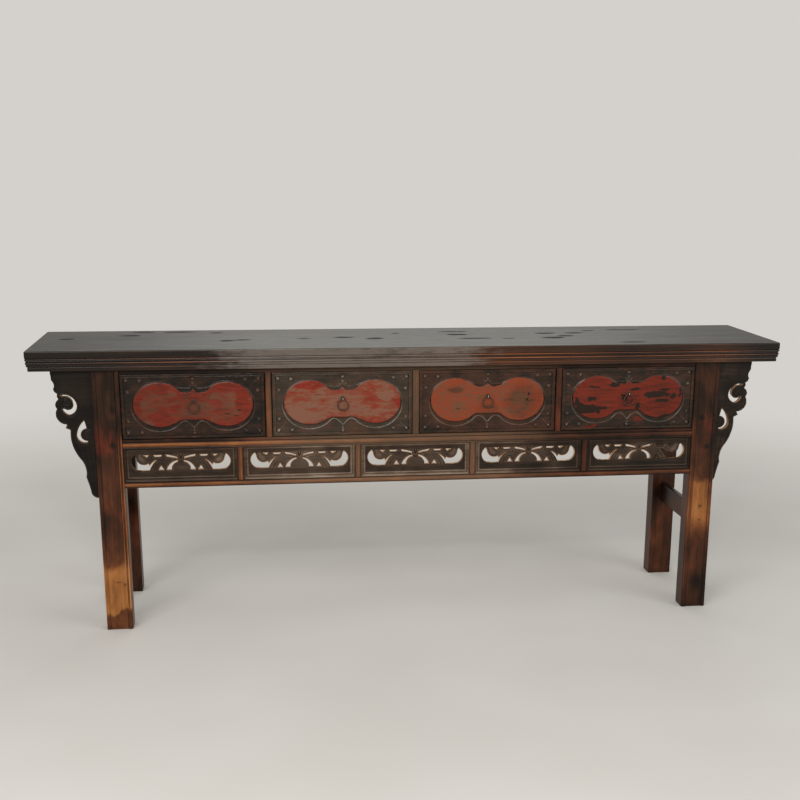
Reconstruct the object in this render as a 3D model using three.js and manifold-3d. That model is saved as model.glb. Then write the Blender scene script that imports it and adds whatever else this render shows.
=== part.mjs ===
// Altar table with four drawers above an openwork frieze.
// Millimetres: +X runs along the table, +Y to the back, +Z up.
// The origin is on the floor under the middle of the top.
import * as THREE from 'three';
import { mergeVertices } from 'three/addons/utils/BufferGeometryUtils.js';
import Module from 'manifold-3d';

const wasm = await Module();
wasm.setup();

// Top board
const topLength = 2320;
const topDepth = 464;
const tableHeight = 880;
const topLowerBand = 12;
const topBeadBand = 17;
const topFaceBand = 31;
const topLowerSetback = 6;
const topBeadSetback = 2;
const topBeadMargin = 0.7;
const topGrooveDepth = 2.5;
const topArris = 3;
const arrisSteps = 2;
const topEndOverhang = 186;
const topFrontOverhang = 18;

// Legs
const legWidth = 80;
const legDepth = 60;

// Small rounded mouldings worked on the legs, rails and posts
const beadDrop = 2.5;
const legInnerBead = 14;
const legOuterBead = 12;
const postBead = 18;
const mullionBead = 17;
const beadSteps = 4;

// Front frame, from the top down
const railDepth = 30;
const railSetback = 1;
const upperRailHeight = 14;
const bayHeight = 200;
const middleRailHeight = 29;
const middleRailFillet = 9;
const middleRailBead = 16;
const friezeHeight = 103;
const bottomRailHeight = 18;
const bottomRailBead = 14;
const drawerCount = 4;
const postWidth = 20;
const friezeCount = 5;
const mullionWidth = 20;

// Cutting and round forms
const mergeTolerance = 1e-4;
const overcut = 1;
const arcSteps = 6;
const roundSides = 24;

// Joinery
const fitGap = 0.3;
const tenonLength = 22;
const tenonShoulder = 6;
const tenonThickness = 12;
const boardTongue = 8;

// Frieze boards and their openwork
const friezeBoardThickness = 12;
const friezeBoardSetback = 8;
const friezeTongue = 5;
const openworkRise = 6;

// Carcase boards behind the front
const sideBoardThickness = 18;
const sideBoardClearance = 8;
const floorThickness = 14;
const floorRebate = 8;
const floorEndGap = 0.5;
const backBoardThickness = 12;
const backBoardSetback = 6;
const backRailDepth = 28;
const guideHeight = 24;
const guideSideGap = 1;
const guideBackGap = 0.5;

// Side stretchers between the front and back legs
const stretcherTop = 336;
const stretcherHeight = 66;
const stretcherThickness = 20;

// Spandrels beside the front legs
const spandrelThickness = 22;
const spandrelSetback = 8;
// The right-hand one was cut narrower where it meets its leg
const spandrelTrim = { left: 0, right: 12 };

// Drawers
const frontGap = 1.5;
const frontSetback = 4;
const frontBackingThickness = 16;
const frontReliefHeight = 4;
const frontReliefRoot = 0.5;
const frontBorder = 10;
const drawerSideGap = 3;
const drawerFloorGap = 0.5;
const drawerSideHeight = 166;
const drawerSideThickness = 12;
const drawerBackClearance = 32;
const drawerBackHeight = 148;
const drawerBackThickness = 12;
const drawerBottomThickness = 8;
const drawerBottomRise = 8;
const drawerBottomTongue = 5;

// Raised gourd panel on each drawer front
const gourdEndMargin = 36;
const gourdRise = 5;
const gourdLobeReach = 79;
const gourdLobeHalfHeight = 69;
const gourdWaistHalfHeight = 41;
const gourdWaistReach = 45;
const gourdWaistPower = 5.6;
const gourdSteps = 20;

// Drop pulls
const pullRise = 16;
const plateRadius = 7;
const plateThickness = 2;
const eyeStandoff = 5;
const eyeRadius = 5.5;
const eyeHoleRadius = 3;
const eyeWidth = 4;
const ringHalfWidth = 15.5;
const ringDrop = 35;
const ringPinch = 0.34;
const ringWireRadius = 2;
const ringSteps = 28;
const ringSides = 8;

// Places worked out from the sizes above
const topThickness = topLowerBand + topBeadBand + topFaceBand;
const undersideZ = tableHeight - topThickness;
const legOuterX = topLength / 2 - topEndOverhang;
const legInnerX = legOuterX - legWidth;
const legFaceY = topDepth / 2 - topFrontOverhang;
const legInsideY = legFaceY - legDepth;
const railFrontY = -legFaceY + railSetback;
const railBackY = railFrontY + railDepth;
const upperRailZ = undersideZ - upperRailHeight;
const bayZ = upperRailZ - bayHeight;
const middleRailZ = bayZ - middleRailHeight;
const friezeZ = middleRailZ - friezeHeight;
const bottomRailZ = friezeZ - bottomRailHeight;
const bayWidth = (2 * legInnerX - (drawerCount - 1) * postWidth) / drawerCount;
const friezeWidth = (2 * legInnerX - (friezeCount - 1) * mullionWidth) / friezeCount;
const sideBoardX = legInnerX + sideBoardClearance;
const backRailY = legFaceY - railSetback - backRailDepth;
const backBoardY = legFaceY - backBoardSetback - backBoardThickness;
const frontFaceY = railFrontY + frontSetback;
const frontFieldY = frontFaceY + frontReliefHeight;
const frontBackY = frontFieldY + frontBackingThickness;
const bayMiddleZ = bayZ + bayHeight / 2;
const drawerZ = bayZ + drawerFloorGap;
const drawerBackY = backBoardY - drawerBackClearance;
const gourdHalfLength = bayWidth / 2 - gourdEndMargin;
const gourdLobeX = gourdHalfLength - gourdLobeReach;
const gourdMiddleZ = bayMiddleZ + gourdRise;
const pullZ = bayMiddleZ + pullRise;
const eyeY = frontFaceY - plateThickness - eyeStandoff;

// Finishes
function finish(color, roughness, metalness = 0) {
  return new THREE.MeshStandardMaterial({ color, roughness, metalness });
}
const topLacquer = finish(0x4a403a, 0.42);
const frameLacquer = finish(0x3c2519, 0.5);
const carvedLacquer = finish(0x2a211b, 0.55);
const frontLacquer = finish(0x6a2a20, 0.5);
const innerWood = finish(0x6b4a30, 0.8);
const agedIron = finish(0x35302b, 0.5, 0.8);

// A block is its low and high limits along each axis
function block(x, y, z) {
  return { x, y, z };
}

function grown(b, gap) {
  const wider = ([low, high]) => [low - gap, high + gap];
  return block(wider(b.x), wider(b.y), wider(b.z));
}

function blockGeometry({ x, y, z }) {
  const geometry = new THREE.BoxGeometry(x[1] - x[0], y[1] - y[0], z[1] - z[0]);
  return geometry.translate((x[0] + x[1]) / 2, (y[0] + y[1]) / 2, (z[0] + z[1]) / 2);
}

// A prism's outline lies in the plane of two axes, and it runs along their cross product
function prism(shape, length, uAxis, vAxis, origin) {
  const wAxis = new THREE.Vector3().crossVectors(uAxis, vAxis);
  const place = new THREE.Matrix4().makeBasis(uAxis, vAxis, wAxis).setPosition(origin);
  const geometry = new THREE.ExtrudeGeometry(shape, { depth: length, bevelEnabled: false });
  return geometry.applyMatrix4(place);
}

const axisX = new THREE.Vector3(1, 0, 0);
const axisY = new THREE.Vector3(0, 1, 0);
const axisZ = new THREE.Vector3(0, 0, 1);

function shapeFrom(points) {
  return new THREE.Shape(points.map(([u, v]) => new THREE.Vector2(u, v)));
}

function alongX(shape, [low, high]) {
  return prism(shape, high - low, axisY, axisZ, new THREE.Vector3(low, 0, 0));
}

function alongY(shape, [low, high]) {
  return prism(shape, high - low, axisX, axisZ, new THREE.Vector3(0, high, 0));
}

function alongZ(shape, [low, high]) {
  return prism(shape, high - low, axisX, axisY, new THREE.Vector3(0, 0, low));
}

// Solids for joining and cutting
function solid(geometry) {
  const bare = geometry.clone();
  bare.deleteAttribute('normal');
  bare.deleteAttribute('uv');
  const merged = mergeVertices(bare, mergeTolerance);
  return new wasm.Manifold(new wasm.Mesh({
    numProp: 3,
    vertProperties: new Float32Array(merged.attributes.position.array),
    triVerts: new Uint32Array(merged.index.array),
  }));
}

function asGeometry(manifold) {
  const mesh = manifold.getMesh();
  const geometry = new THREE.BufferGeometry();
  geometry.setAttribute('position', new THREE.BufferAttribute(new Float32Array(mesh.vertProperties), 3));
  geometry.setIndex(new THREE.BufferAttribute(new Uint32Array(mesh.triVerts), 1));
  geometry.computeVertexNormals();
  return geometry;
}

function carved(base, additions, pockets) {
  let result = solid(base);
  for (const extra of additions) {
    result = result.add(solid(extra));
  }
  for (const pocket of pockets) {
    result = result.subtract(solid(blockGeometry(pocket)));
  }
  return asGeometry(result);
}

// A board cut to an outline, with openings cut right through it
function piercedBoard(outline, holes, [low, high]) {
  let result = solid(alongY(shapeFrom(outline), [low, high]));
  for (const hole of holes) {
    result = result.subtract(solid(alongY(shapeFrom(hole), [low - overcut, high + overcut])));
  }
  return asGeometry(result);
}

// A carved outline is rows of [u, v, swell]. A swell is the rise of the arc from its point to the
// next one, to the right hand of the way there, and a straight stretch has none.
function carvedOutline(rows) {
  const points = [];
  rows.forEach(([u, v, swell], k) => {
    points.push([u, v]);
    if (swell) {
      const [nextU, nextV] = rows[(k + 1) % rows.length];
      const half = Math.hypot(nextU - u, nextV - v) / 2;
      const along = [(nextU - u) / (2 * half), (nextV - v) / (2 * half)];
      const radius = (half * half + swell * swell) / (2 * swell);
      const reach = Math.asin(half / radius);
      for (let step = 1; step < arcSteps; step += 1) {
        const turn = reach * (2 * step / arcSteps - 1);
        const run = half + radius * Math.sin(turn);
        const rise = swell - radius * (1 - Math.cos(turn));
        points.push([u + along[0] * run + along[1] * rise, v + along[1] * run - along[0] * rise]);
      }
    }
  });
  return points;
}

const table = new THREE.Group();

function addPiece(name, geometry, material) {
  const mesh = new THREE.Mesh(geometry, material);
  mesh.name = name;
  table.add(mesh);
}

// Heights and insets of the top's moulded edge, from its underside up
function topEdgeLevels() {
  const beadLow = topLowerBand + topGrooveDepth;
  const beadHigh = topLowerBand + topBeadBand;
  const grooveInset = topBeadSetback + topGrooveDepth;
  const levels = [[0, topLowerSetback], [topLowerBand, topLowerSetback], [beadLow, topLowerSetback]];
  for (let step = 0; step <= beadSteps; step += 1) {
    const share = step / beadSteps;
    const inset = topBeadSetback + topGrooveDepth * (1 - Math.sin(Math.PI * share));
    levels.push([beadLow + topBeadMargin + (beadHigh - beadLow - 2 * topBeadMargin) * share, inset]);
  }
  levels.push([beadHigh + topGrooveDepth / 2, grooveInset]);
  levels.push([beadHigh + topGrooveDepth, 0]);
  for (let step = 0; step <= arrisSteps; step += 1) {
    const turn = Math.PI / 2 * step / arrisSteps;
    levels.push([topThickness - topArris * (1 - Math.sin(turn)), topArris * (1 - Math.cos(turn))]);
  }
  return levels;
}

// A board whose four sides follow the same moulded profile, as stacked rectangles
function mouldedBoard(length, depth, baseZ, levels) {
  const positions = [];
  const index = [];
  for (const [rise, inset] of levels) {
    const x = length / 2 - inset;
    const y = depth / 2 - inset;
    const z = baseZ + rise;
    positions.push(-x, -y, z, x, -y, z, x, y, z, -x, y, z);
  }
  for (let level = 0; level + 1 < levels.length; level += 1) {
    for (let corner = 0; corner < 4; corner += 1) {
      const a = level * 4 + corner;
      const b = level * 4 + (corner + 1) % 4;
      index.push(a, b, b + 4, a, b + 4, a + 4);
    }
  }
  const last = (levels.length - 1) * 4;
  index.push(0, 2, 1, 0, 3, 2);
  index.push(last, last + 1, last + 2, last, last + 2, last + 3);
  const geometry = new THREE.BufferGeometry();
  geometry.setAttribute('position', new THREE.Float32BufferAttribute(positions, 3));
  geometry.setIndex(index);
  geometry.computeVertexNormals();
  return geometry;
}

// A moulded face from one edge to the other: flat at the drop, with round beads rising to the face
function mouldedFace(low, high, beads) {
  const points = [[low, beadDrop]];
  for (const [start, width] of beads) {
    for (let step = 0; step <= beadSteps; step += 1) {
      const share = step / beadSteps;
      points.push([start + width * share, beadDrop * (1 - Math.sin(Math.PI * share))]);
    }
  }
  points.push([high, beadDrop]);
  return points.filter(([s, v], k) => k === 0 || s !== points[k - 1][0] || v !== points[k - 1][1]);
}

// Frieze boards, one between each pair of uprights
const friezeBoards = [];
for (let k = 0; k < friezeCount; k += 1) {
  const low = -legInnerX + k * (friezeWidth + mullionWidth);
  friezeBoards.push(block(
    [low - friezeTongue, low + friezeWidth + friezeTongue],
    [railFrontY + friezeBoardSetback, railFrontY + friezeBoardSetback + friezeBoardThickness],
    [friezeZ - friezeTongue, middleRailZ + friezeTongue],
  ));
}
const friezePockets = friezeBoards.map((board) => grown(board, fitGap));

// Tenons reach from inside the rail into both legs
function tenonPair(zLow, zHigh, yMiddle) {
  const y = [yMiddle - tenonThickness / 2, yMiddle + tenonThickness / 2];
  const reach = [legInnerX - tenonShoulder, legInnerX + tenonLength];
  return [
    block([-reach[1], -reach[0]], y, [zLow, zHigh]),
    block(reach, y, [zLow, zHigh]),
  ];
}
const frontTenonY = railFrontY + friezeBoardSetback + friezeBoardThickness / 2;
const middleTenons = tenonPair(middleRailZ + tenonShoulder, bayZ - tenonShoulder, frontTenonY);
const bottomTenons = tenonPair(bottomRailZ + tenonShoulder, friezeZ - tenonShoulder, frontTenonY);
const backTenonY = backRailY + backRailDepth / 2;
const backTenons = tenonPair(middleRailZ + tenonShoulder, bayZ - tenonShoulder, backTenonY);

const floorBoard = block(
  [-legInnerX + floorEndGap, legInnerX - floorEndGap],
  [railBackY - floorRebate, backRailY + floorRebate],
  [bayZ - floorThickness, bayZ],
);
const floorPocket = grown(floorBoard, fitGap);
const backBoard = block(
  [-legInnerX - boardTongue, legInnerX + boardTongue],
  [backBoardY, backBoardY + backBoardThickness],
  [bayZ, undersideZ],
);

function sideBoard(side) {
  const x = [side * sideBoardX, side * (sideBoardX + sideBoardThickness)].sort((a, b) => a - b);
  const reach = legInsideY + boardTongue;
  return block(x, [-reach, reach], [middleRailZ, undersideZ]);
}

function stretcher(side) {
  const middle = side * (legInnerX + legWidth / 2);
  const z = [stretcherTop - stretcherHeight, stretcherTop];
  const halfThickness = stretcherThickness / 2;
  return {
    body: block([middle - halfThickness, middle + halfThickness], [-legInsideY, legInsideY], z),
    tenon: block(
      [middle - tenonThickness / 2, middle + tenonThickness / 2],
      [-legInsideY - tenonLength, legInsideY + tenonLength],
      [z[0] + tenonShoulder, z[1] - tenonShoulder],
    ),
  };
}

// Top and legs
addPiece('top_board', mouldedBoard(topLength, topDepth, undersideZ, topEdgeLevels()), topLacquer);

const legBeads = [[0, legInnerBead], [legWidth - legOuterBead, legOuterBead]];
const frontPockets = [...middleTenons, ...bottomTenons].map((tenon) => grown(tenon, fitGap));
const backPockets = [...backTenons, backBoard].map((piece) => grown(piece, fitGap));
for (const [sideName, side] of [['left', -1], ['right', 1]]) {
  const endPockets = [sideBoard(side), stretcher(side).tenon].map((piece) => grown(piece, fitGap));
  for (const [faceName, face] of [['front', -1], ['back', 1]]) {
    const section = mouldedFace(0, legWidth, legBeads).concat([[legWidth, legDepth], [0, legDepth]]);
    const outline = section.map(([u, v]) => [side * (legInnerX + u), face * (legFaceY - v)]);
    const pockets = face < 0 ? [...frontPockets, ...friezePockets] : backPockets;
    const leg = carved(alongZ(shapeFrom(outline), [0, undersideZ]), [], [...pockets, ...endPockets]);
    addPiece(`leg_${faceName}_${sideName}`, leg, frameLacquer);
  }
}

// Front rails run between the legs
const railSpan = [-legInnerX, legInnerX];

function railShape(zLow, zHigh, beads) {
  const face = mouldedFace(zLow, zHigh, beads).map(([s, v]) => [railFrontY + v, s]);
  return shapeFrom([...face, [railBackY, zHigh], [railBackY, zLow]]);
}
const middleBeads = [[bayZ - middleRailFillet - middleRailBead, middleRailBead]];
const bottomBeads = [[bottomRailZ + (bottomRailHeight - bottomRailBead) / 2, bottomRailBead]];
addPiece('rail_upper', alongX(railShape(upperRailZ, undersideZ, []), railSpan), frameLacquer);
addPiece('rail_middle', carved(
  alongX(railShape(middleRailZ, bayZ, middleBeads), railSpan),
  middleTenons.map(blockGeometry),
  [...friezePockets, floorPocket],
), frameLacquer);
addPiece('rail_bottom', carved(
  alongX(railShape(bottomRailZ, friezeZ, bottomBeads), railSpan),
  bottomTenons.map(blockGeometry),
  friezePockets,
), frameLacquer);

// Posts between the drawers and mullions between the frieze boards, each with one round bead
function uprightShape(middle, width, bead) {
  const low = middle - width / 2;
  const high = middle + width / 2;
  const face = mouldedFace(low, high, [[middle - bead / 2, bead]]);
  return shapeFrom([...face.map(([s, v]) => [s, railFrontY + v]), [high, railBackY], [low, railBackY]]);
}
const postMiddles = [];
for (let k = 1; k < drawerCount; k += 1) {
  const middle = -legInnerX + k * bayWidth + (k - 0.5) * postWidth;
  postMiddles.push(middle);
  addPiece(`post_${k}`, alongZ(uprightShape(middle, postWidth, postBead), [bayZ, upperRailZ]), frameLacquer);
}
for (let k = 1; k < friezeCount; k += 1) {
  const middle = -legInnerX + k * friezeWidth + (k - 0.5) * mullionWidth;
  const upright = alongZ(uprightShape(middle, mullionWidth, mullionBead), [friezeZ, middleRailZ]);
  addPiece(`mullion_${k}`, carved(upright, [], friezePockets), frameLacquer);
}

// Openwork of the left half of a frieze board, about the middle of the pattern
const openwork = {
  crescent: [
    [-137, 24, 14], [-134, -22, 1], [-96, -24, -2], [-75, 7, 2],
    [-95, -11, 0], [-98, -3, -11.5], [-133, 15, 0],
  ],
  browNick: [[-111, 23, 0], [-97, 23, 0], [-102, 17, 0]],
  browSlit: [[-81, 23, 0], [-58, 23, 0], [-61, 18, 0], [-78, 18, 0]],
  crestSlit: [[-44, 24, -1], [-11, 16, 0], [-11, 12, 1], [-42, 18, 0]],
  tusk: [[-43, -23, -6.5], [-10, 6, 0], [-10, 2, 3.5], [-29, -16, 0], [-29, -23, 0]],
  toothNick: [[-67, -23, 0], [-60, -11, 0], [-52, -23, 0]],
};

function openworkHoles(middleX, middleZ) {
  const holes = [];
  for (const rows of Object.values(openwork)) {
    const outline = carvedOutline(rows);
    for (const hand of [1, -1]) {
      holes.push(outline.map(([u, v]) => [middleX + hand * u, middleZ + v]));
    }
  }
  return holes;
}

friezeBoards.forEach((board, k) => {
  const { x, y, z } = board;
  const outline = [[x[0], z[0]], [x[1], z[0]], [x[1], z[1]], [x[0], z[1]]];
  const holes = openworkHoles((x[0] + x[1]) / 2, (z[0] + z[1]) / 2 + openworkRise);
  addPiece(`frieze_board_${k + 1}`, piercedBoard(outline, holes, y), carvedLacquer);
});

// Spandrel outline as [distance out from the leg, drop under the top, swell], from the top corner
// down: scallops, a notch, two round lobes, a spur and a double curve to the foot
const spandrelOutline = [
  [120, 0, 0], [117, 30, -2], [110, 49, 0], [113, 55, 3], [103, 70, 0], [104, 79, 0],
  [100, 88, 7], [106, 116, 16], [80, 164, 0], [85, 175, 0], [71, 181, 10], [44, 275, -5.5],
  [34, 328, -1], [21, 380, 4], [0, 394, 0], [0, 0, 0],
];
// Openings round the two carved discs: a crescent, and a flame with its tip up
const spandrelOpenings = [
  [[94, 75, -13.5], [48, 108, -7], [73, 134, -3], [90, 116, 0], [84, 116, 9.5], [57, 104, 9.5], [88, 78, 0]],
  [[29.5, 153.5, 4], [52, 193, 12], [23, 218.5, 0], [23, 215.5, -19], [24, 176.5, 0]],
];

for (const [sideName, side] of [['left', -1], ['right', 1]]) {
  const edgeX = legOuterX - spandrelTrim[sideName];
  const placePoint = ([out, down]) => [side * (edgeX + out), undersideZ - down];
  const placed = (rows) => carvedOutline(rows).map(placePoint);
  const y = [-legFaceY + spandrelSetback, -legFaceY + spandrelSetback + spandrelThickness];
  const legX = [side * legInnerX, side * legOuterX].sort((a, b) => a - b);
  const leg = block(legX, [-legFaceY, -legInsideY], [-overcut, undersideZ + overcut]);
  const board = piercedBoard(placed(spandrelOutline), spandrelOpenings.map(placed), y);
  addPiece(`spandrel_${sideName}`, carved(board, [], [leg]), carvedLacquer);
}

// Carcase boards, side stretchers and drawer guides
addPiece('side_board_left', blockGeometry(sideBoard(-1)), frameLacquer);
addPiece('side_board_right', blockGeometry(sideBoard(1)), frameLacquer);
for (const [sideName, side] of [['left', -1], ['right', 1]]) {
  const { body, tenon } = stretcher(side);
  const board = carved(blockGeometry(body), [blockGeometry(tenon)], []);
  addPiece(`side_stretcher_${sideName}`, board, frameLacquer);
}
const backRail = block(railSpan, [backRailY, backRailY + backRailDepth], [middleRailZ, bayZ]);
addPiece('back_rail', carved(
  blockGeometry(backRail),
  backTenons.map(blockGeometry),
  [floorPocket],
), frameLacquer);
addPiece('back_board', blockGeometry(backBoard), innerWood);
addPiece('drawer_floor', blockGeometry(floorBoard), innerWood);
postMiddles.forEach((middle, k) => {
  const halfWidth = postWidth / 2 - guideSideGap;
  const guide = block(
    [middle - halfWidth, middle + halfWidth],
    [railBackY, backBoardY - guideBackGap],
    [bayZ, bayZ + guideHeight],
  );
  addPiece(`drawer_guide_${k + 1}`, blockGeometry(guide), innerWood);
});

// Raised gourd: two round lobes joined by a waist, given by its half height at each place along it
function gourdHalfHeight(x) {
  const away = Math.abs(x);
  const lobe = (offset) => {
    const share = (offset - gourdLobeX) / gourdLobeReach;
    return gourdLobeHalfHeight * Math.sqrt(Math.max(0, 1 - share * share));
  };
  if (away >= gourdWaistReach) {
    return lobe(away);
  }
  const rise = lobe(gourdWaistReach) - gourdWaistHalfHeight;
  return gourdWaistHalfHeight + rise * (away / gourdWaistReach) ** gourdWaistPower;
}

function gourdShape(middleX) {
  const upper = [];
  for (let step = 1; step < 2 * gourdSteps; step += 1) {
    const turn = Math.PI * step / (2 * gourdSteps);
    const x = -gourdHalfLength * Math.cos(turn);
    upper.push([middleX + x, gourdMiddleZ + gourdHalfHeight(x)]);
  }
  const lower = upper.map(([x, z]) => [x, 2 * gourdMiddleZ - z]).reverse();
  const left = [middleX - gourdHalfLength, gourdMiddleZ];
  const right = [middleX + gourdHalfLength, gourdMiddleZ];
  return shapeFrom([left, ...upper, right, ...lower]);
}

function drawerFront(middleX, bottom) {
  const halfWidth = bayWidth / 2 - frontGap;
  const x = [middleX - halfWidth, middleX + halfWidth];
  const z = [bayZ + frontGap, upperRailZ - frontGap];
  const border = shapeFrom([[x[0], z[0]], [x[1], z[0]], [x[1], z[1]], [x[0], z[1]]]);
  const inner = [[x[0] + frontBorder, z[0] + frontBorder], [x[1] - frontBorder, z[0] + frontBorder],
    [x[1] - frontBorder, z[1] - frontBorder], [x[0] + frontBorder, z[1] - frontBorder]];
  border.holes.push(new THREE.Path(inner.map(([u, v]) => new THREE.Vector2(u, v))));
  const relief = [frontFaceY, frontFieldY + frontReliefRoot];
  return carved(
    blockGeometry(block(x, [frontFieldY, frontBackY], z)),
    [alongY(border, relief), alongY(gourdShape(middleX), relief)],
    [grown(bottom, fitGap)],
  );
}

// The pull's eye stands on a round plate, and the ring hangs through it
function cylinderAlong(axis, radius, length, centre) {
  const geometry = new THREE.CylinderGeometry(radius, radius, length, roundSides);
  if (axis === axisX) {
    geometry.rotateZ(Math.PI / 2);
  }
  return geometry.translate(centre.x, centre.y, centre.z);
}

function pullEye(middleX) {
  const plate = cylinderAlong(
    axisY, plateRadius, plateThickness,
    new THREE.Vector3(middleX, frontFaceY - plateThickness / 2, pullZ),
  );
  const centre = new THREE.Vector3(middleX, eyeY, pullZ);
  const eye = solid(cylinderAlong(axisX, eyeRadius, eyeWidth, centre));
  const hole = solid(cylinderAlong(axisX, eyeHoleRadius, eyeWidth + 2 * overcut, centre));
  return asGeometry(solid(plate).add(eye).subtract(hole));
}

// The ring's middle line from its top, pinched there, and the direction that it runs in
function ringPoint(turn) {
  const x = ringHalfWidth * Math.sin(turn) * (1 - ringPinch * Math.cos(turn));
  const z = -ringDrop * (1 - Math.cos(turn)) / 2;
  return [x, z];
}

function ringDirection(turn) {
  const x = ringHalfWidth * (Math.cos(turn) - ringPinch * Math.cos(2 * turn));
  const z = -ringDrop * Math.sin(turn) / 2;
  return new THREE.Vector2(x, z).normalize();
}

function pullRing(middleX) {
  const positions = [];
  const index = [];
  for (let step = 0; step < ringSteps; step += 1) {
    const turn = 2 * Math.PI * step / ringSteps;
    const [x, z] = ringPoint(turn);
    const tangent = ringDirection(turn);
    for (let side = 0; side < ringSides; side += 1) {
      const angle = 2 * Math.PI * (side + 0.5) / ringSides;
      const outward = ringWireRadius * Math.cos(angle);
      positions.push(middleX + x - tangent.y * outward);
      positions.push(eyeY + ringWireRadius * Math.sin(angle));
      positions.push(pullZ + z + tangent.x * outward);
      const a = step * ringSides + side;
      const b = step * ringSides + (side + 1) % ringSides;
      const next = ringSides * (((step + 1) % ringSteps) - step);
      index.push(a, b + next, b, a, a + next, b + next);
    }
  }
  const geometry = new THREE.BufferGeometry();
  geometry.setAttribute('position', new THREE.Float32BufferAttribute(positions, 3));
  geometry.setIndex(index);
  geometry.computeVertexNormals();
  return geometry;
}

// Drawers, left to right
for (let k = 0; k < drawerCount; k += 1) {
  const name = `drawer_${k + 1}`;
  const middleX = -legInnerX + bayWidth / 2 + k * (bayWidth + postWidth);
  const halfWidth = bayWidth / 2 - drawerSideGap;
  const insideHalf = halfWidth - drawerSideThickness;
  const bottomZ = drawerZ + drawerBottomRise;
  const bottomHigh = bottomZ + drawerBottomThickness;
  const bottom = block(
    [middleX - insideHalf - drawerBottomTongue, middleX + insideHalf + drawerBottomTongue],
    [frontBackY - drawerBottomTongue, drawerBackY],
    [bottomZ, bottomHigh],
  );
  addPiece(`${name}_front`, drawerFront(middleX, bottom), frontLacquer);
  for (const [sideName, side] of [['left', -1], ['right', 1]]) {
    const x = [middleX + side * halfWidth, middleX + side * insideHalf].sort((a, b) => a - b);
    const board = block(x, [frontBackY, drawerBackY], [drawerZ, drawerZ + drawerSideHeight]);
    const grooved = carved(blockGeometry(board), [], [grown(bottom, fitGap)]);
    addPiece(`${name}_side_${sideName}`, grooved, innerWood);
  }
  const back = block(
    [middleX - insideHalf, middleX + insideHalf],
    [drawerBackY - drawerBackThickness, drawerBackY],
    [bottomHigh, bottomHigh + drawerBackHeight],
  );
  addPiece(`${name}_back`, blockGeometry(back), innerWood);
  addPiece(`${name}_bottom`, blockGeometry(bottom), innerWood);
  addPiece(`${name}_pull_eye`, pullEye(middleX), agedIron);
  addPiece(`${name}_pull_ring`, pullRing(middleX), agedIron);
}

export default table;
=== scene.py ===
"""Looks of a long altar table with four drawers: moulded, carved and worn lacquer over its fixed frame.

Shapes are worked out in millimetres and written to the meshes in metres. X runs along the table,
Y to the back and Z up, with the floor at 0.
"""

import bpy
import numpy as np
from bpy.props import FloatProperty, FloatVectorProperty, PointerProperty
from mathutils import Matrix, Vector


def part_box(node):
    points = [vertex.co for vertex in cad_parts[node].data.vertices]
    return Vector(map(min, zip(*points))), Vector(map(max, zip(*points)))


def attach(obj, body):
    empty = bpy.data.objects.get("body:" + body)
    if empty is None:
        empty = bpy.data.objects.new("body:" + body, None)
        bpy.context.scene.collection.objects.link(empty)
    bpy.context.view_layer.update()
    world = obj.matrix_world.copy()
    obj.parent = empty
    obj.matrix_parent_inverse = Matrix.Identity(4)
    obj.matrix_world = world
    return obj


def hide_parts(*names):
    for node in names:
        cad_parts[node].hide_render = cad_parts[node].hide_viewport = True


bl_info = {
    "name": "Altar table with four drawers",
    "version": (1, 0, 0),
    "blender": (4, 5, 0),
    "location": "View3D > Sidebar > Altar table",
    "description": "Builds the carved and lacquered pieces of a long altar table around its frame",
    "category": "Add Mesh",
}

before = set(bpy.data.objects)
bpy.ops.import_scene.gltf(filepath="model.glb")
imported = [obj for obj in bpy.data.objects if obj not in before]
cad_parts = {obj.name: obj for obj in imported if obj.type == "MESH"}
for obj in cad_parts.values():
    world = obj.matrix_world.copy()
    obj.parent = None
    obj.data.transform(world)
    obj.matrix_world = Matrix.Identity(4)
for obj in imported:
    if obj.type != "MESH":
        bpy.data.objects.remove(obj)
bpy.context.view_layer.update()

METRE = 1000.0
CARCASE = "carcase"
DRAWERS = (1, 2, 3, 4)
PANELS = (1, 2, 3, 4, 5)
SIDES = {"left": -1, "right": 1}


def tone(red, green, blue):
    """Linear colour of a tint whose channels are given from 0 to 255, with full opacity."""
    share = np.array([red, green, blue]) / 255
    linear = np.where(share <= 0.04045, share / 12.92, ((share + 0.055) / 1.055) ** 2.4)
    return tuple(float(c) for c in linear) + (1.0,)


def box_of(node):
    """Lowest and highest corner of a frame node, in millimetres."""
    low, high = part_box(node)
    return np.array(low) * METRE, np.array(high) * METRE


# Sizes and finishes a user can change

def length_prop(name, description, default_mm):
    """A length setting, shown in the scene's unit and given here in millimetres."""
    return FloatProperty(name=name, description=description, default=default_mm / METRE,
                         min=0.0, subtype="DISTANCE", unit="LENGTH")


def colour_prop(name, description, tint):
    """A colour setting, given here as 0 to 255 per channel."""
    return FloatVectorProperty(name=name, description=description, default=tone(*tint),
                               size=4, min=0.0, max=1.0, subtype="COLOR")


class AltarTableSizes(bpy.types.PropertyGroup):
    """Sizes of the worked details."""
    bead_drop: length_prop("Bead drop", "How far a moulded face lies behind the crest of its beads", 2.5)
    groove: length_prop("Groove depth", "Depth of the fine groove beside each bead", 1.0)
    front_border: length_prop("Front border", "Width of the raised border of a drawer front", 10.0)
    front_relief: length_prop("Front relief", "Height of the drawer border above the field", 4.0)
    gourd_rise: length_prop("Gourd rise", "Height of the red gourd panel above the field", 4.2)
    gourd_bead: length_prop("Gourd bead", "Width of the bead line around the gourd", 4.0)
    boss_radius: length_prop("Boss radius", "Radius of the small carved bosses", 5.8)
    carving_depth: length_prop("Carving depth", "Depth of the engraved lines of the carved boards", 1.5)
    carving_grid: length_prop("Carving grid", "Spacing of the points of a carved surface", 1.5)
    ring_wire: length_prop("Ring wire", "Radius of the wire of a drop pull", 2.0)


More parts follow.
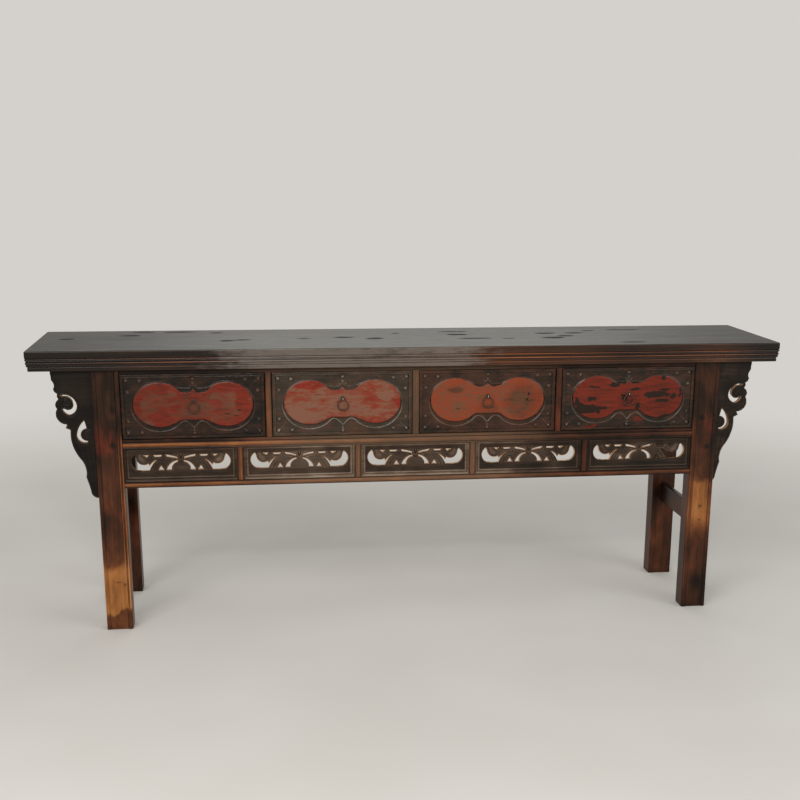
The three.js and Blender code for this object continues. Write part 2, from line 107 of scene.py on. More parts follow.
class AltarTableTones(bpy.types.PropertyGroup):
    """Colours of the finishes."""
    top_dark: colour_prop("Top lacquer", "Lacquer of the top's moulded edge", (30, 23, 18))
    top_sheen: colour_prop("Top bloom", "Greyed lacquer on the upper face of the top", (47, 45, 36))
    frame_dark: colour_prop("Frame lacquer", "Unworn lacquer of legs and rails", (37, 25, 18))
    frame_red: colour_prop("Frame undercoat", "Reddish coat that shows where the lacquer is thin",
                           (68, 39, 25))
    bare_wood: colour_prop("Bare wood", "Wood rubbed bare on beads and edges", (146, 94, 50))
    carved_dark: colour_prop("Carved lacquer", "Near black lacquer of the carved boards", (32, 25, 19))
    cut_wood: colour_prop("Cut wood", "Pale wood of the cut edges of the openwork", (196, 158, 118))
    field_olive: colour_prop("Drawer field", "Olive brown ground of the drawer fronts", (38, 31, 24))
    gourd_red: colour_prop("Gourd red", "Brick red of the gourd panels", (128, 38, 27))
    gourd_worn: colour_prop("Gourd worn", "Olive brown that the red is worn to", (122, 86, 69))
    iron: colour_prop("Iron", "Browned iron of the pulls", (78, 58, 43))
    plain_wood: colour_prop("Plain wood", "Unfinished wood inside the drawers", (139, 106, 72))
    floor: colour_prop("Floor", "Pale floor under the table", (206, 203, 197))
    surroundings: colour_prop("Surroundings", "Pale room around the table", (212, 209, 204))


def sizes():
    """The size settings in millimetres, by name."""
    group = bpy.context.scene.altar_table_sizes
    return {key: getattr(group, key) * METRE for key in AltarTableSizes.__annotations__}


def tones():
    """The colour settings, by name."""
    group = bpy.context.scene.altar_table_tones
    return {key: tuple(getattr(group, key)) for key in AltarTableTones.__annotations__}


# Fields and curves worked out as whole arrays

def drift(along, across, length, seed):
    """Soft irregular field between about -1 and 1.

    It is a sum of sine waves in seeded directions. Each octave is half as long and half as strong as
    the one before, and the sum is divided by about its highest value.
    """
    octaves, waves, highest = 3, 4, 3.4
    rng = np.random.default_rng(seed)
    total = 0.0
    for octave in range(octaves):
        for turn, phase in rng.uniform(0, 2 * np.pi, (waves, 2)):
            run = along * np.cos(turn) + across * np.sin(turn)
            total = total + np.sin(2 * np.pi * run * 2 ** octave / length + phase) / 2 ** octave
    return total / highest


def smooth(low, high, value):
    """0 below low, 1 above high, and the smooth cubic step between them."""
    share = np.clip((value - low) / (high - low), 0, 1)
    return share * share * (3 - 2 * share)


def hump(value, middle, reach):
    """Bell curve of height 1 around a middle place, which has fallen to a third at the reach."""
    return np.exp(-((value - middle) / reach) ** 2)


def dome(offset, reach):
    """Quarter-circle rise: 0 at an offset of 0, 1 from the reach on, as the edge of a rounded form."""
    share = np.clip(offset / reach, 0, 1)
    return np.sqrt(1 - (1 - share) ** 2)


def half_ellipse(offset):
    """Height of a half ellipse of height 1, root(1 - t t) at an offset t of its middle, and 0 beyond 1."""
    return np.sqrt(np.clip(1 - offset ** 2, 0, 1))


def spaced(low, high, step):
    """Evenly spaced places from low to high, about a step apart, with both ends."""
    return np.linspace(low, high, max(2, int(round((high - low) / step)) + 1))


def carved_outline(rows, steps=12):
    """Closed outline from rows of [u, v, swell].

    Each row's stretch to the next one is an arc that rises by its swell to the right hand of the way
    there: the point at a share of the turn lies half + R sin t along and swell - R (1 - cos t) aside.
    """
    rows = np.array(rows, float)
    ends = np.roll(rows, -1, axis=0)
    points = []
    for (u, v, swell), (next_u, next_v, _) in zip(rows, ends):
        chord = np.array([next_u - u, next_v - v])
        half = np.hypot(*chord) / 2
        along = chord / (2 * half)
        share = np.arange(steps) / steps
        if swell:
            radius = (half * half + swell * swell) / (2 * swell)
            turn = np.arcsin(half / radius) * (2 * share - 1)
            run = half + radius * np.sin(turn)
            rise = swell - radius * (1 - np.cos(turn))
        else:
            run = 2 * half * share
            rise = 0 * share
        points.append(np.stack([u + along[0] * run + along[1] * rise,
                                v + along[1] * run - along[0] * rise], axis=1))
    return np.concatenate(points)


def inside_distance(u, v, outline):
    """Distance of each point to a closed outline, positive inside, and the nearest point on it."""
    shape = u.shape
    p = np.stack([u.ravel(), v.ravel()], axis=1)
    start = outline
    end = np.roll(outline, -1, axis=0)
    way = end - start
    size = np.maximum((way ** 2).sum(1), 1e-9)
    best = np.full(len(p), np.inf)
    near = np.zeros_like(p)
    inside = np.zeros(len(p), bool)
    for a, b, w, s in zip(start, end, way, size):
        share = np.clip(((p - a) @ w) / s, 0, 1)
        foot = a + share[:, None] * w
        gap = ((p - foot) ** 2).sum(1)
        closer = gap < best
        best = np.where(closer, gap, best)
        near[closer] = foot[closer]
        crosses = (a[1] > p[:, 1]) != (b[1] > p[:, 1])
        rise = w[1] if w[1] else 1e-9
        inside ^= crosses & (p[:, 0] < a[0] + w[0] * (p[:, 1] - a[1]) / rise)
    distance = np.where(inside, 1.0, -1.0) * np.sqrt(best)
    return distance.reshape(shape), near[:, 0].reshape(shape), near[:, 1].reshape(shape)


def wood_distance(u, v, outer, holes):
    """Distance to the nearest edge of a pierced board, positive in the wood, and that edge's point."""
    best, near_u, near_v = inside_distance(u, v, outer)
    for hole in holes:
        gap, hole_u, hole_v = inside_distance(u, v, hole)
        closer = -gap < best
        best = np.where(closer, -gap, best)
        near_u = np.where(closer, hole_u, near_u)
        near_v = np.where(closer, hole_v, near_v)
    return best, near_u, near_v


# Finishes

def add_node(tree, kind, inputs=None, **settings):
    """A shader node with its settings, whose inputs are values or links from other nodes' sockets."""
    made = tree.nodes.new("ShaderNode" + kind)
    for key, value in settings.items():
        setattr(made, key, value)
    for key, value in (inputs or {}).items():
        if isinstance(value, bpy.types.NodeSocket):
            tree.links.new(value, made.inputs[key])
        else:
            made.inputs[key].default_value = value
    return made


class Finish:
    """A material under construction: its node tree with short ways to the patterns it needs."""

    def __init__(self, name):
        """Starts a material of that name."""
        self.material = bpy.data.materials.new(name)
        self.material.use_nodes = True
        self.tree = self.material.node_tree
        self.shader = self.tree.nodes["Principled BSDF"]
        self.place = add_node(self.tree, "TexCoord").outputs["Object"]

    def stretched(self, stretch, shift=(0, 0, 0)):
        """Object place, shifted and scaled along each axis."""
        return add_node(self.tree, "Mapping", {"Vector": self.place, "Location": shift,
                                               "Scale": stretch}).outputs["Vector"]

    def noise(self, scale, stretch=(1, 1, 1), detail=3.0, rough=0.55, twist=0.0, shift=(0, 0, 0)):
        """Cloudy pattern between 0 and 1; a small stretch along an axis lengthens it that way."""
        return add_node(self.tree, "TexNoise", {
            "Vector": self.stretched(stretch, shift), "Scale": scale, "Detail": detail,
            "Roughness": rough, "Distortion": twist}).outputs["Fac"]

    def value(self, name):
        """A number that the piece carries at each of its points."""
        return add_node(self.tree, "Attribute", attribute_name=name).outputs["Fac"]

    def sums(self, *terms):
        """Sum of pairs of (weight, socket), with single numbers added as they are."""
        total = None
        for term in terms:
            if not isinstance(term, tuple):
                total = self.math("ADD", total, term)
            elif total is None:
                total = self.math("MULTIPLY", term[1], term[0])
            else:
                total = add_node(self.tree, "Math", {0: term[1], 1: term[0], 2: total},
                                 operation="MULTIPLY_ADD").outputs[0]
        return total

    def math(self, operation, first, second=0.0):
        """One arithmetic step on two inputs."""
        return add_node(self.tree, "Math", {0: first, 1: second}, operation=operation).outputs[0]

    def step(self, value, low, high, start=0.0, end=1.0):
        """Smooth change from start to end as the value goes from low to high."""
        return add_node(self.tree, "MapRange", {"Value": value, "From Min": low, "From Max": high,
                                                "To Min": start, "To Max": end},
                        interpolation_type="SMOOTHSTEP").outputs["Result"]

    def ramp(self, value, stops):
        """Colour that runs through stops of (place, colour) as the value grows from 0 to 1."""
        made = add_node(self.tree, "ValToRGB", {"Fac": value})
        band = made.color_ramp.elements
        band[0].position, band[0].color = stops[0]
        band[1].position, band[1].color = stops[-1]
        for place, colour in stops[1:-1]:
            band.new(place).color = colour
        return made.outputs["Color"]

    def mix(self, share, first, second):
        """Blend of two colours by a share."""
        made = self.tree.nodes.new("ShaderNodeMix")
        made.data_type = "RGBA"
        for socket, value in zip((made.inputs[0], made.inputs[6], made.inputs[7]), (share, first, second)):
            if isinstance(value, bpy.types.NodeSocket):
                self.tree.links.new(value, socket)
            else:
                socket.default_value = value
        return made.outputs[2]

    def coat(self, below, above, pattern, low, high, most=1.0):
        """Lays one colour over another: none of it where the pattern is low, the most where it is high."""
        return self.mix(self.step(pattern, low, high, 0.0, most), below, above)

    def finish(self, colour, roughness, height, bump=0.3, reach=0.0006, metallic=0.0, specular=0.5):
        """Puts colour, roughness and relief on the shader and gives the material."""
        links = self.tree.links
        links.new(colour, self.shader.inputs["Base Color"])
        links.new(roughness, self.shader.inputs["Roughness"])
        relief = add_node(self.tree, "Bump", {"Height": height, "Strength": bump, "Distance": reach})
        links.new(relief.outputs["Normal"], self.shader.inputs["Normal"])
        self.shader.inputs["Metallic"].default_value = metallic
        self.shader.inputs["Specular IOR Level"].default_value = specular
        return self.material


def lengthwise(axis, along=0.06, across=1.0):
    """Stretch of a grain pattern that runs along one axis."""
    stretch = [across] * 3
    stretch["xyz".index(axis)] = along
    return tuple(stretch)


def frame_lacquer(name, axis):
    """Dark lacquer worn by steps to a reddish coat and then bare wood, with the grain along an axis."""
    tint = tones()
    f = Finish(name)
    wear, grime, warm, dust = f.value("wear"), f.value("grime"), f.value("warm"), f.value("dust")
    patches = f.noise(19.0, lengthwise(axis, 0.4), detail=6.0, rough=0.62, twist=0.6)
    clouds = f.noise(9.0, lengthwise(axis, 0.6), detail=5.0, rough=0.6, twist=0.4, shift=(2.0, 5.0, 1.0))
    streaks = f.noise(60.0, lengthwise(axis, 0.05), detail=4.0, rough=0.6)
    grain = f.noise(300.0, lengthwise(axis, 0.03), detail=4.0, rough=0.6)
    specks = f.noise(200.0, lengthwise(axis, 0.4), detail=3.0)
    worn = f.sums((1.0, wear), (0.62, patches), (0.3, clouds), (0.34, streaks), (0.24, grain), -0.75)
    brown = f.ramp(worn, [(0.0, tone(20, 15, 11)), (0.20, tint["frame_dark"]), (0.40, tint["frame_red"]),
                          (0.60, tone(100, 59, 34)), (0.80, tint["bare_wood"]), (1.0, tone(172, 120, 70))])
    reddish = f.ramp(worn, [(0.0, tone(36, 19, 13)), (0.3, tone(80, 34, 22)), (0.6, tone(118, 62, 35)),
                            (1.0, tone(166, 104, 60))])
    glow = f.sums((1.0, warm), (0.8, clouds), (0.7, patches), -0.75)
    colour = f.coat(brown, reddish, glow, 0.22, 0.62, 0.85)
    # dust: a pale grey brown for dust and painted sheen in the middle of the front
    colour = f.coat(colour, tone(112, 88, 68), f.sums((1.0, dust), (0.4, patches), -0.2), 0.0, 1.0, 0.6)
    colour = f.coat(colour, tone(20, 15, 12), grime, 0.1, 0.9, 0.88)
    colour = f.coat(colour, tone(30, 22, 16), specks, 0.64, 0.76, 0.55)
    rough = f.sums((0.18, worn), (0.14, patches), (0.1, grain), 0.14)
    height = f.sums((0.6, grain), (0.5, streaks), (-0.3, worn), (-0.3, specks))
    return f.finish(colour, rough, height, bump=0.35, reach=0.0007, specular=0.12)


def top_lacquer(name):
    """Lacquer of the top: greyed and scarred above, dark on the moulded edge with thin rubbed lines, and a
    painted sheen of light grey on the middle of the upper face and of the front edge.
    """
    tint = tones()
    f = Finish(name)
    wear, grime = f.value("wear"), f.value("grime")
    upper, scars, haze = f.value("upper"), f.value("scars"), f.value("haze")
    patches = f.noise(4.0, (0.4, 1.6, 3.0), detail=5.0, rough=0.6, twist=0.4)
    grain = f.noise(260.0, (0.02, 1.0, 1.0), detail=4.0, rough=0.62)
    streaks = f.noise(70.0, (0.07, 1.0, 1.0), detail=6.0, rough=0.68)
    bands = f.noise(26.0, (0.035, 1.0, 1.0), detail=2.0, rough=0.5, twist=0.5, shift=(3.0, 1.0, 0))
    chips = f.noise(60.0, (0.3, 1.0, 1.0), detail=5.0, rough=0.7)
    crack = f.step(f.math("ABSOLUTE", f.math("SUBTRACT", bands, 0.5)), 0.0, 0.012, 1.0, 0.0)
    pitted = f.step(f.sums((1.0, scars), (0.9, chips), (1.1, streaks), -0.93), 0.36, 0.56)
    worn = f.sums((1.0, wear), (0.4, patches), (0.3, streaks), (0.2, grain), -0.45)
    edge = f.ramp(worn, [(0.0, tone(22, 17, 14)), (0.22, tint["top_dark"]), (0.42, tone(62, 39, 26)),
                         (0.65, tone(112, 66, 42)), (0.9, tone(152, 96, 60))])
    # painted sheen: light grey laid on the front edge where the reflection falls, with dull wear from
    # chips, streaks and patches
    dull_and_sheen = f.sums((1.0, haze), (1.2, chips), (0.8, streaks), (0.8, patches), -1.4)
    edge = f.coat(edge, tone(108, 98, 90), dull_and_sheen, 0.2, 0.9, 0.8)
    bloom = f.coat(tint["top_sheen"], tone(26, 23, 18), streaks, 0.44, 0.60)
    bloom = f.coat(bloom, tone(58, 57, 47), patches, 0.4, 0.7, 0.6)
    # painted reflection: the upper face lighter grey towards the middle of the table
    bloom = f.coat(bloom, tone(84, 84, 72), haze, 0.0, 1.0, 0.5)
    bloom = f.mix(f.math("MULTIPLY", crack, 0.8), bloom, tone(24, 19, 16))
    bloom = f.mix(pitted, bloom, tone(14, 11, 9))
    colour = f.coat(f.mix(upper, edge, bloom), tone(16, 12, 10), grime, 0.15, 0.9, 0.9)
    rough = f.sums((0.14, chips), (0.1, grain), (0.14, streaks), (0.35, pitted), (0.22, upper), 0.04)
    height = f.sums((0.5, grain), (0.5, streaks), (-0.6, crack), (-1.0, pitted))
    height = f.math("MULTIPLY", height, f.sums((0.85, upper), 0.15))
    return f.finish(colour, rough, height, bump=0.3, reach=0.0009, specular=0.21)


def carved_lacquer(name):
    """Near black lacquer of the carved boards, rubbed brown on the high places, pale where cut through and,
    as a painted glow, on the face round each opening.
    """
    tint = tones()
    f = Finish(name)
    wear, grime, cut = f.value("wear"), f.value("grime"), f.value("cut")
    patches = f.noise(14.0, (0.6, 1.0, 1.0), detail=6.0, rough=0.62, twist=0.4)
    grain = f.noise(240.0, (0.06, 1.0, 1.0), detail=4.0)
    specks = f.noise(330.0, detail=3.0)
    worn = f.sums((1.0, wear), (0.6, patches), (0.3, grain), -0.45)
    colour = f.ramp(worn, [(0.0, tone(16, 12, 9)), (0.22, tint["carved_dark"]), (0.42, tone(60, 46, 36)),
                           (0.62, tone(100, 82, 67)), (0.85, tone(150, 136, 118))])
    colour = f.coat(colour, tone(14, 11, 9), grime, 0.1, 0.9, 0.85)
    # cut: pale cut wood on the walls of the openings, with a painted glow of the light through them on the
    # face round each opening
    pale = f.coat(tint["cut_wood"], tone(150, 108, 74), patches, 0.3, 0.7)
    colour = f.coat(colour, pale, f.sums((1.0, cut), (0.3, patches), -0.15), 0.35, 0.75)
    rough = f.sums((0.22, patches), (0.15, grain), (0.3, cut), 0.25)
    height = f.sums((0.5, grain), (0.3, specks), (0.4, patches))
    return f.finish(colour, rough, height, bump=0.3, reach=0.0006, specular=0.12)


def front_lacquer(name):
    """Drawer fronts: olive ground with greyed lines and bosses, and a brick red gourd faded in streaks."""
    tint = tones()
    f = Finish(name)
    wear, grime, red = f.value("wear"), f.value("grime"), f.value("red")
    age, scrape, warm, shade = f.value("age"), f.value("scrape"), f.value("warm"), f.value("shade")
    patches = f.noise(16.0, (0.6, 1.0, 1.1), detail=6.0, rough=0.62, twist=0.8)
    blots = f.noise(50.0, (0.5, 1.0, 1.2), detail=6.0, rough=0.65, twist=1.0, shift=(1.7, 0, 4.0))
    streaks = f.noise(130.0, (0.14, 1.0, 1.0), detail=5.0, rough=0.65)
    grain = f.noise(330.0, (0.05, 1.0, 1.0), detail=4.0)
    specks = f.noise(380.0, detail=3.0)
    worn = f.sums((1.0, wear), (0.45, patches), (0.25, streaks), (0.2, grain), -0.45)
    olive = f.ramp(worn, [(0.0, tone(20, 16, 12)), (0.22, tint["field_olive"]), (0.42, tone(62, 52, 42)),
                          (0.62, tone(92, 85, 73)), (0.85, tone(140, 134, 120))])
    brown = f.ramp(worn, [(0.0, tone(36, 22, 15)), (0.4, tone(78, 48, 33)), (0.8, tone(110, 76, 56))])
    ground = f.coat(olive, brown, f.sums((0.9, blots), (0.7, patches), (0.2, warm), -0.36), 0.40, 0.66, 0.7)
    panel = f.coat(tint["gourd_red"], tone(104, 30, 18), streaks, 0.35, 0.65)
    panel = f.coat(panel, tone(130, 62, 34), warm, 0.1, 0.9)
    tired = f.sums((1.0, age), (1.4, blots), (0.4, patches), (0.9, streaks), (0.4, grain), -1.55)
    panel = f.coat(panel, tone(118, 64, 44), tired, 0.20, 0.46, 0.7)
    panel = f.coat(panel, f.mix(warm, tint["gourd_worn"], tone(88, 58, 30)), tired, 0.40, 0.70, 0.8)
    flecks = f.sums((1.2, streaks), (0.9, blots), (0.4, shade), -1.16)
    panel = f.coat(panel, tone(50, 24, 14), flecks, 0.0, 0.3, 0.42)
    # shade: partly a darker red, partly painted shade, most on the end drawers
    panel = f.mix(shade, panel, tone(22, 10, 5))
    scraped = f.step(f.sums((1.0, scrape), (1.1, streaks), (1.1, blots), (0.3, grain), -1.15), 0.42, 0.56)
    panel = f.mix(scraped, panel, tone(34, 20, 11))
    colour = f.mix(red, ground, panel)
    colour = f.coat(colour, tone(22, 17, 13), grime, 0.12, 0.9, 0.85)
    colour = f.coat(colour, tone(30, 24, 19), specks, 0.68, 0.8, 0.4)
    rough = f.sums((0.16, blots), (0.12, streaks), (0.15, scraped), 0.12)
    height = f.sums((0.5, grain), (0.6, streaks), (-0.8, scraped), (0.3, specks))
    return f.finish(colour, rough, height, bump=0.2, reach=0.0006, specular=0.18)


def plain_wood(name, axis):
    """Unfinished wood inside the carcase, with annual rings as long wavy bands along an axis."""
    tint = tones()
    f = Finish(name)
    bands = f.noise(34.0, lengthwise(axis, 0.05), detail=4.0, rough=0.6, twist=0.7)
    grain = f.noise(260.0, lengthwise(axis, 0.03), detail=4.0)
    stains = f.noise(6.0, detail=4.0)
    colour = f.coat(tone(112, 80, 52), tint["plain_wood"], bands, 0.35, 0.65)
    colour = f.coat(colour, tone(88, 60, 38), grain, 0.4, 0.7, 0.5)
    colour = f.coat(colour, tone(84, 62, 44), stains, 0.5, 0.75, 0.6)
    rough = f.sums((0.2, grain), 0.6)
    height = f.sums((0.7, grain), (0.4, bands))
    return f.finish(colour, rough, height, bump=0.35, reach=0.0006, specular=0.3)


def aged_iron(name):
    """Browned forged iron, pitted, with rust in the pits and bright metal where it is rubbed; the bright
    patch is partly a painted glint.
    """
    tint = tones()
    f = Finish(name)
    rub = f.value("rub")
    pits = f.noise(500.0, detail=4.0, rough=0.65)
    rust = f.noise(160.0, detail=4.0)
    colour = f.coat(tint["iron"], tone(84, 56, 38), rust, 0.45, 0.65)
    colour = f.coat(tone(34, 27, 21), colour, pits, 0.35, 0.6)
    # rub: rubbed metal, partly a painted glint on the front of the eye's loop
    bright = f.step(f.sums((1.0, rub), (0.5, pits), -0.25), 0.3, 0.7)
    colour = f.mix(bright, colour, tone(176, 168, 154))
    rough = f.sums((0.35, pits), (0.25, rust), (-0.15, bright), 0.25)
    return f.finish(colour, rough, f.sums((1.0, pits), (0.4, rust)), bump=0.4, reach=0.0004, metallic=0.5)


# Each finish: the frame's slot that it fills, the function that builds it and its grain axis, if any
FINISHES = {
    "top_finish": ("top_lacquer", top_lacquer),
    "carved_finish": ("carved_lacquer", carved_lacquer),
    "front_finish": ("front_lacquer", front_lacquer),
    "frame_finish_x": ("frame_lacquer", frame_lacquer, "x"),
    "frame_finish_y": ("frame_lacquer", frame_lacquer, "y"),
    "frame_finish_z": ("frame_lacquer", frame_lacquer, "z"),
    "plain_wood_x": ("inner_wood", plain_wood, "x"),
    "plain_wood_y": ("inner_wood", plain_wood, "y"),
    "iron_finish": ("aged_iron", aged_iron),
}


def finish_of(name):
    """The material of that name, built on first use, and the slot that it fills."""
    slot, build, *axis = FINISHES[name]
    return bpy.data.materials.get(name) or build(name, *axis), slot


# Meshes

def make_piece(name, points, faces, finish, body, nodes=(), values=None, crease=38):
    """Puts points in millimetres and faces, grouped by corner count, into a mesh that rides on a body.

    Values are numbers at each point that its finish reads, by name. Edges sharper than the crease
    angle stay sharp.
    """
    faces = [group for group in faces if len(group)]
    mesh = bpy.data.meshes.new(name)
    mesh.vertices.add(len(points))
    mesh.vertices.foreach_set("co", (np.asarray(points) / METRE).astype(np.float32).ravel())
    corners = np.concatenate([group.ravel() for group in faces]).astype(np.int32)
    counts = np.concatenate([np.full(len(group), group.shape[1]) for group in faces])
    starts = np.concatenate([[0], np.cumsum(counts)[:-1]]).astype(np.int32)
    mesh.loops.add(len(corners))
    mesh.loops.foreach_set("vertex_index", corners)
    mesh.polygons.add(len(counts))
    mesh.polygons.foreach_set("loop_start", starts)
    mesh.polygons.foreach_set("use_smooth", np.ones(len(counts), bool))
    mesh.update(calc_edges=True)
    for key, value in (values or {}).items():
        layer = mesh.attributes.new(key, "FLOAT", "POINT")
        layer.data.foreach_set("value", np.asarray(value, np.float32).ravel())
    mesh.set_sharp_from_angle(angle=np.radians(crease))
    material, slot = finish_of(finish)
    mesh.materials.append(material)
    piece = bpy.data.objects.new(name, mesh)
    bpy.context.scene.collection.objects.link(piece)
    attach(piece, body)
    if nodes:
        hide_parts(*nodes)
    return piece


def grid_faces(rows, columns, wrap_rows=False, wrap_columns=False):
    """Quads of a grid of points numbered row by row; a wrapped direction joins its end to its start."""
    r = np.arange(rows if wrap_rows else rows - 1)
    c = np.arange(columns if wrap_columns else columns - 1)
    r, c = (g.ravel() for g in np.meshgrid(r, c, indexing="ij"))
    next_r = (r + 1) % rows
    next_c = (c + 1) % columns
    return np.stack([r * columns + c, r * columns + next_c, next_r * columns + next_c,
                     next_r * columns + c], axis=1)


def carried_section(section, stations, round_end=1.5):
    """A closed section carried along straight stations, with both ends rounded in and capped.

    A point of the section at turn k of the end round lies inside by round (1 - sin k) and short of
    the end by round (1 - cos k). Gives points as (section u, section v, station), the faces and the
    station of each point.
    """
    turn = np.linspace(0, np.pi / 2, 4)
    low = stations[0] + round_end * (1 - np.cos(turn))
    high = stations[0] + stations[-1] - low[::-1]
    middle = stations[(stations > low[-1] + 0.1) & (stations < high[0] - 0.1)]
    places = np.concatenate([low, middle, high])
    inset = round_end * (1 - np.sin(turn))
    inset = np.concatenate([inset, 0 * middle, inset[::-1]])
    low_corner, high_corner = section.min(0), section.max(0)
    centre = (low_corner + high_corner) / 2
    half = (high_corner - low_corner) / 2
    squeeze = 1 - inset[:, None, None] / half
    flat = centre + (section - centre)[None] * squeeze
    ring = np.concatenate([flat, np.broadcast_to(places[:, None, None], flat.shape[:2] + (1,))], axis=2)
    count = len(section)
    sides = grid_faces(len(places), count, wrap_columns=True)
    first = np.arange(count)[None, ::-1]
    last = (len(places) - 1) * count + np.arange(count)[None]
    return ring.reshape(-1, 3), [sides, first, last], np.repeat(places, count)


def board_section(low, high, radius, step=6.0):
    """A rectangle with rounded corners, run anticlockwise, with points along its sides."""
    (u0, v0), (u1, v1) = low, high
    radius = min(radius, (u1 - u0) / 2.01, (v1 - v0) / 2.01)
    turn = np.linspace(0, np.pi / 2, 4)
    parts = []
    for (cu, cv), start in zip([(u1 - radius, v0 + radius), (u1 - radius, v1 - radius),
                                (u0 + radius, v1 - radius), (u0 + radius, v0 + radius)],
                               [-np.pi / 2, 0, np.pi / 2, np.pi]):
        parts.append(np.stack([cu + radius * np.cos(start + turn), cv + radius * np.sin(start + turn)], 1))
    ring = np.concatenate(parts)
    following = np.roll(ring, -1, axis=0)
    filled = []
    for a, b in zip(ring, following):
        count = max(1, int(np.hypot(*(b - a)) // step))
        share = np.arange(count)[:, None] / count
        filled.append(a + (b - a) * share)
    return np.concatenate(filled)


def turned(profile, sides=40):
    """A closed form of revolution from a profile of (radius, height) that starts and ends on the axis.

    Ring k lies at its height with points radius (cos t, sin t); both poles are single points.
    """
    turn = 2 * np.pi * np.arange(sides) / sides
    rings = profile[1:-1]
    body = np.stack([rings[:, :1] * np.cos(turn), rings[:, :1] * np.sin(turn),
                     np.repeat(rings[:, 1:], sides, axis=1)], axis=2).reshape(-1, 3)
    points = np.concatenate([body, [[0, 0, profile[0, 1]], [0, 0, profile[-1, 1]]]])
    quads = grid_faces(len(rings), sides, wrap_columns=True)
    around = np.arange(sides)
    following = (around + 1) % sides
    bottom = np.stack([np.full(sides, len(body)), following, around], axis=1)
    last = (len(rings) - 1) * sides
    top = np.stack([np.full(sides, len(body) + 1), last + around, last + following], axis=1)
    return points, quads, np.concatenate([bottom, top])


def closed_wire(path, radius, sides=14):
    """A round wire along a closed path that lies in one plane.

    At each path point the ring is centre + radius (n cos t + m sin t), where n is the plane's
    in-plane normal to the path and m the plane's own normal.
    """
    way = np.roll(path, -1, axis=0) - np.roll(path, 1, axis=0)
    way /= np.linalg.norm(way, axis=1, keepdims=True)
    plane = np.cross(path[len(path) // 4] - path[0], path[len(path) // 2] - path[0])
    plane /= np.linalg.norm(plane)
    aside = np.cross(plane, way)
    turn = 2 * np.pi * np.arange(sides) / sides
    thick = np.broadcast_to(radius, (len(path),))[:, None, None]
    ring = path[:, None] + thick * (aside[:, None] * np.cos(turn)[None, :, None]
                                    + plane * np.sin(turn)[None, :, None])
    quads = grid_faces(len(path), sides, wrap_rows=True, wrap_columns=True)
    points = ring.reshape(-1, 3)
    a, b, c = (points[quads[0, k]] for k in range(3))
    if np.dot(np.cross(b - a, c - a), (a + c) / 2 - path[0]) < 0:
        quads = quads[:, ::-1]
    return points, quads


def join_shells(shells):
    """Several closed shells as one list of points and faces; each shell is (points, [face groups])."""
    points, faces, count = [], {}, 0
    for shell_points, groups in shells:
        points.append(shell_points)
        for group in groups:
            faces.setdefault(group.shape[1], []).append(group + count)
        count += len(shell_points)
    return np.concatenate(points), [np.concatenate(groups) for groups in faces.values()]


# Boards with carved faces and cut openings

# A grid point moves onto an edge that is nearer than this share of the grid's step
SNAP = 0.51


def undercut(u, v, distance, flare, reach):
    """Moves for the points of a board's back, away from its openings by up to the flare.

    The move is the slope of a potential, flare (d - d d / 2 reach) at distance d from an opening up
    to the reach, softened over neighbouring grid points so that it fades between two openings.
    """
    held = np.clip(distance, -reach, reach)
    potential = flare * (held - np.where(held > 0, held * held / (2 * reach), 0))
    for _ in range(3):
        padded = np.pad(potential, 1, mode="edge")
        potential = (padded[1:-1, 1:-1] * 2 + padded[:-2, 1:-1] + padded[2:, 1:-1] + padded[1:-1, :-2]
                     + padded[1:-1, 2:]) / 6
    slope_v, slope_u = np.gradient(potential, v[1, 0] - v[0, 0], u[0, 1] - u[0, 0])
    return slope_u, slope_v


def pierced_sheet(u, v, distance, near_u, near_v, step):
    """Cuts a grid to a board's edges.

    Points near an edge move onto it. Cells keep their four corners where all are in the wood, and
    cells with one corner out keep the triangle of the others. Gives the moved places, and the kept
    cells and triangles as point numbers.
    """
    snap = np.abs(distance) < SNAP * step
    u = np.where(snap, near_u, u)
    v = np.where(snap, near_v, v)
    level = np.where(snap, 0.0, distance).ravel()
    cells = grid_faces(*u.shape)
    out = level[cells] < 0
    highest = level[cells].max(1)
    whole = (out.sum(1) == 0) & (highest > 0)
    three = (out.sum(1) == 1) & (highest > 0)
    gone = np.argmax(out[three], axis=1)
    pick = (gone[:, None] + np.array([1, 2, 3])) % 4
    triangles = np.take_along_axis(cells[three], pick, axis=1)
    return u, v, cells[whole], triangles[level[triangles].max(1) > 0]


def free_edges(quads, triangles, count):
    """Sides of faces that no other face shares in the opposite direction."""
    sides = [np.stack([quads[:, k], quads[:, (k + 1) % 4]], 1) for k in range(4)]
    sides += [np.stack([triangles[:, k], triangles[:, (k + 1) % 3]], 1) for k in range(3)]
    edges = np.concatenate(sides)
    key = edges[:, 0] * count + edges[:, 1]
    reverse = edges[:, 1] * count + edges[:, 0]
    return edges[~np.isin(key, reverse)]


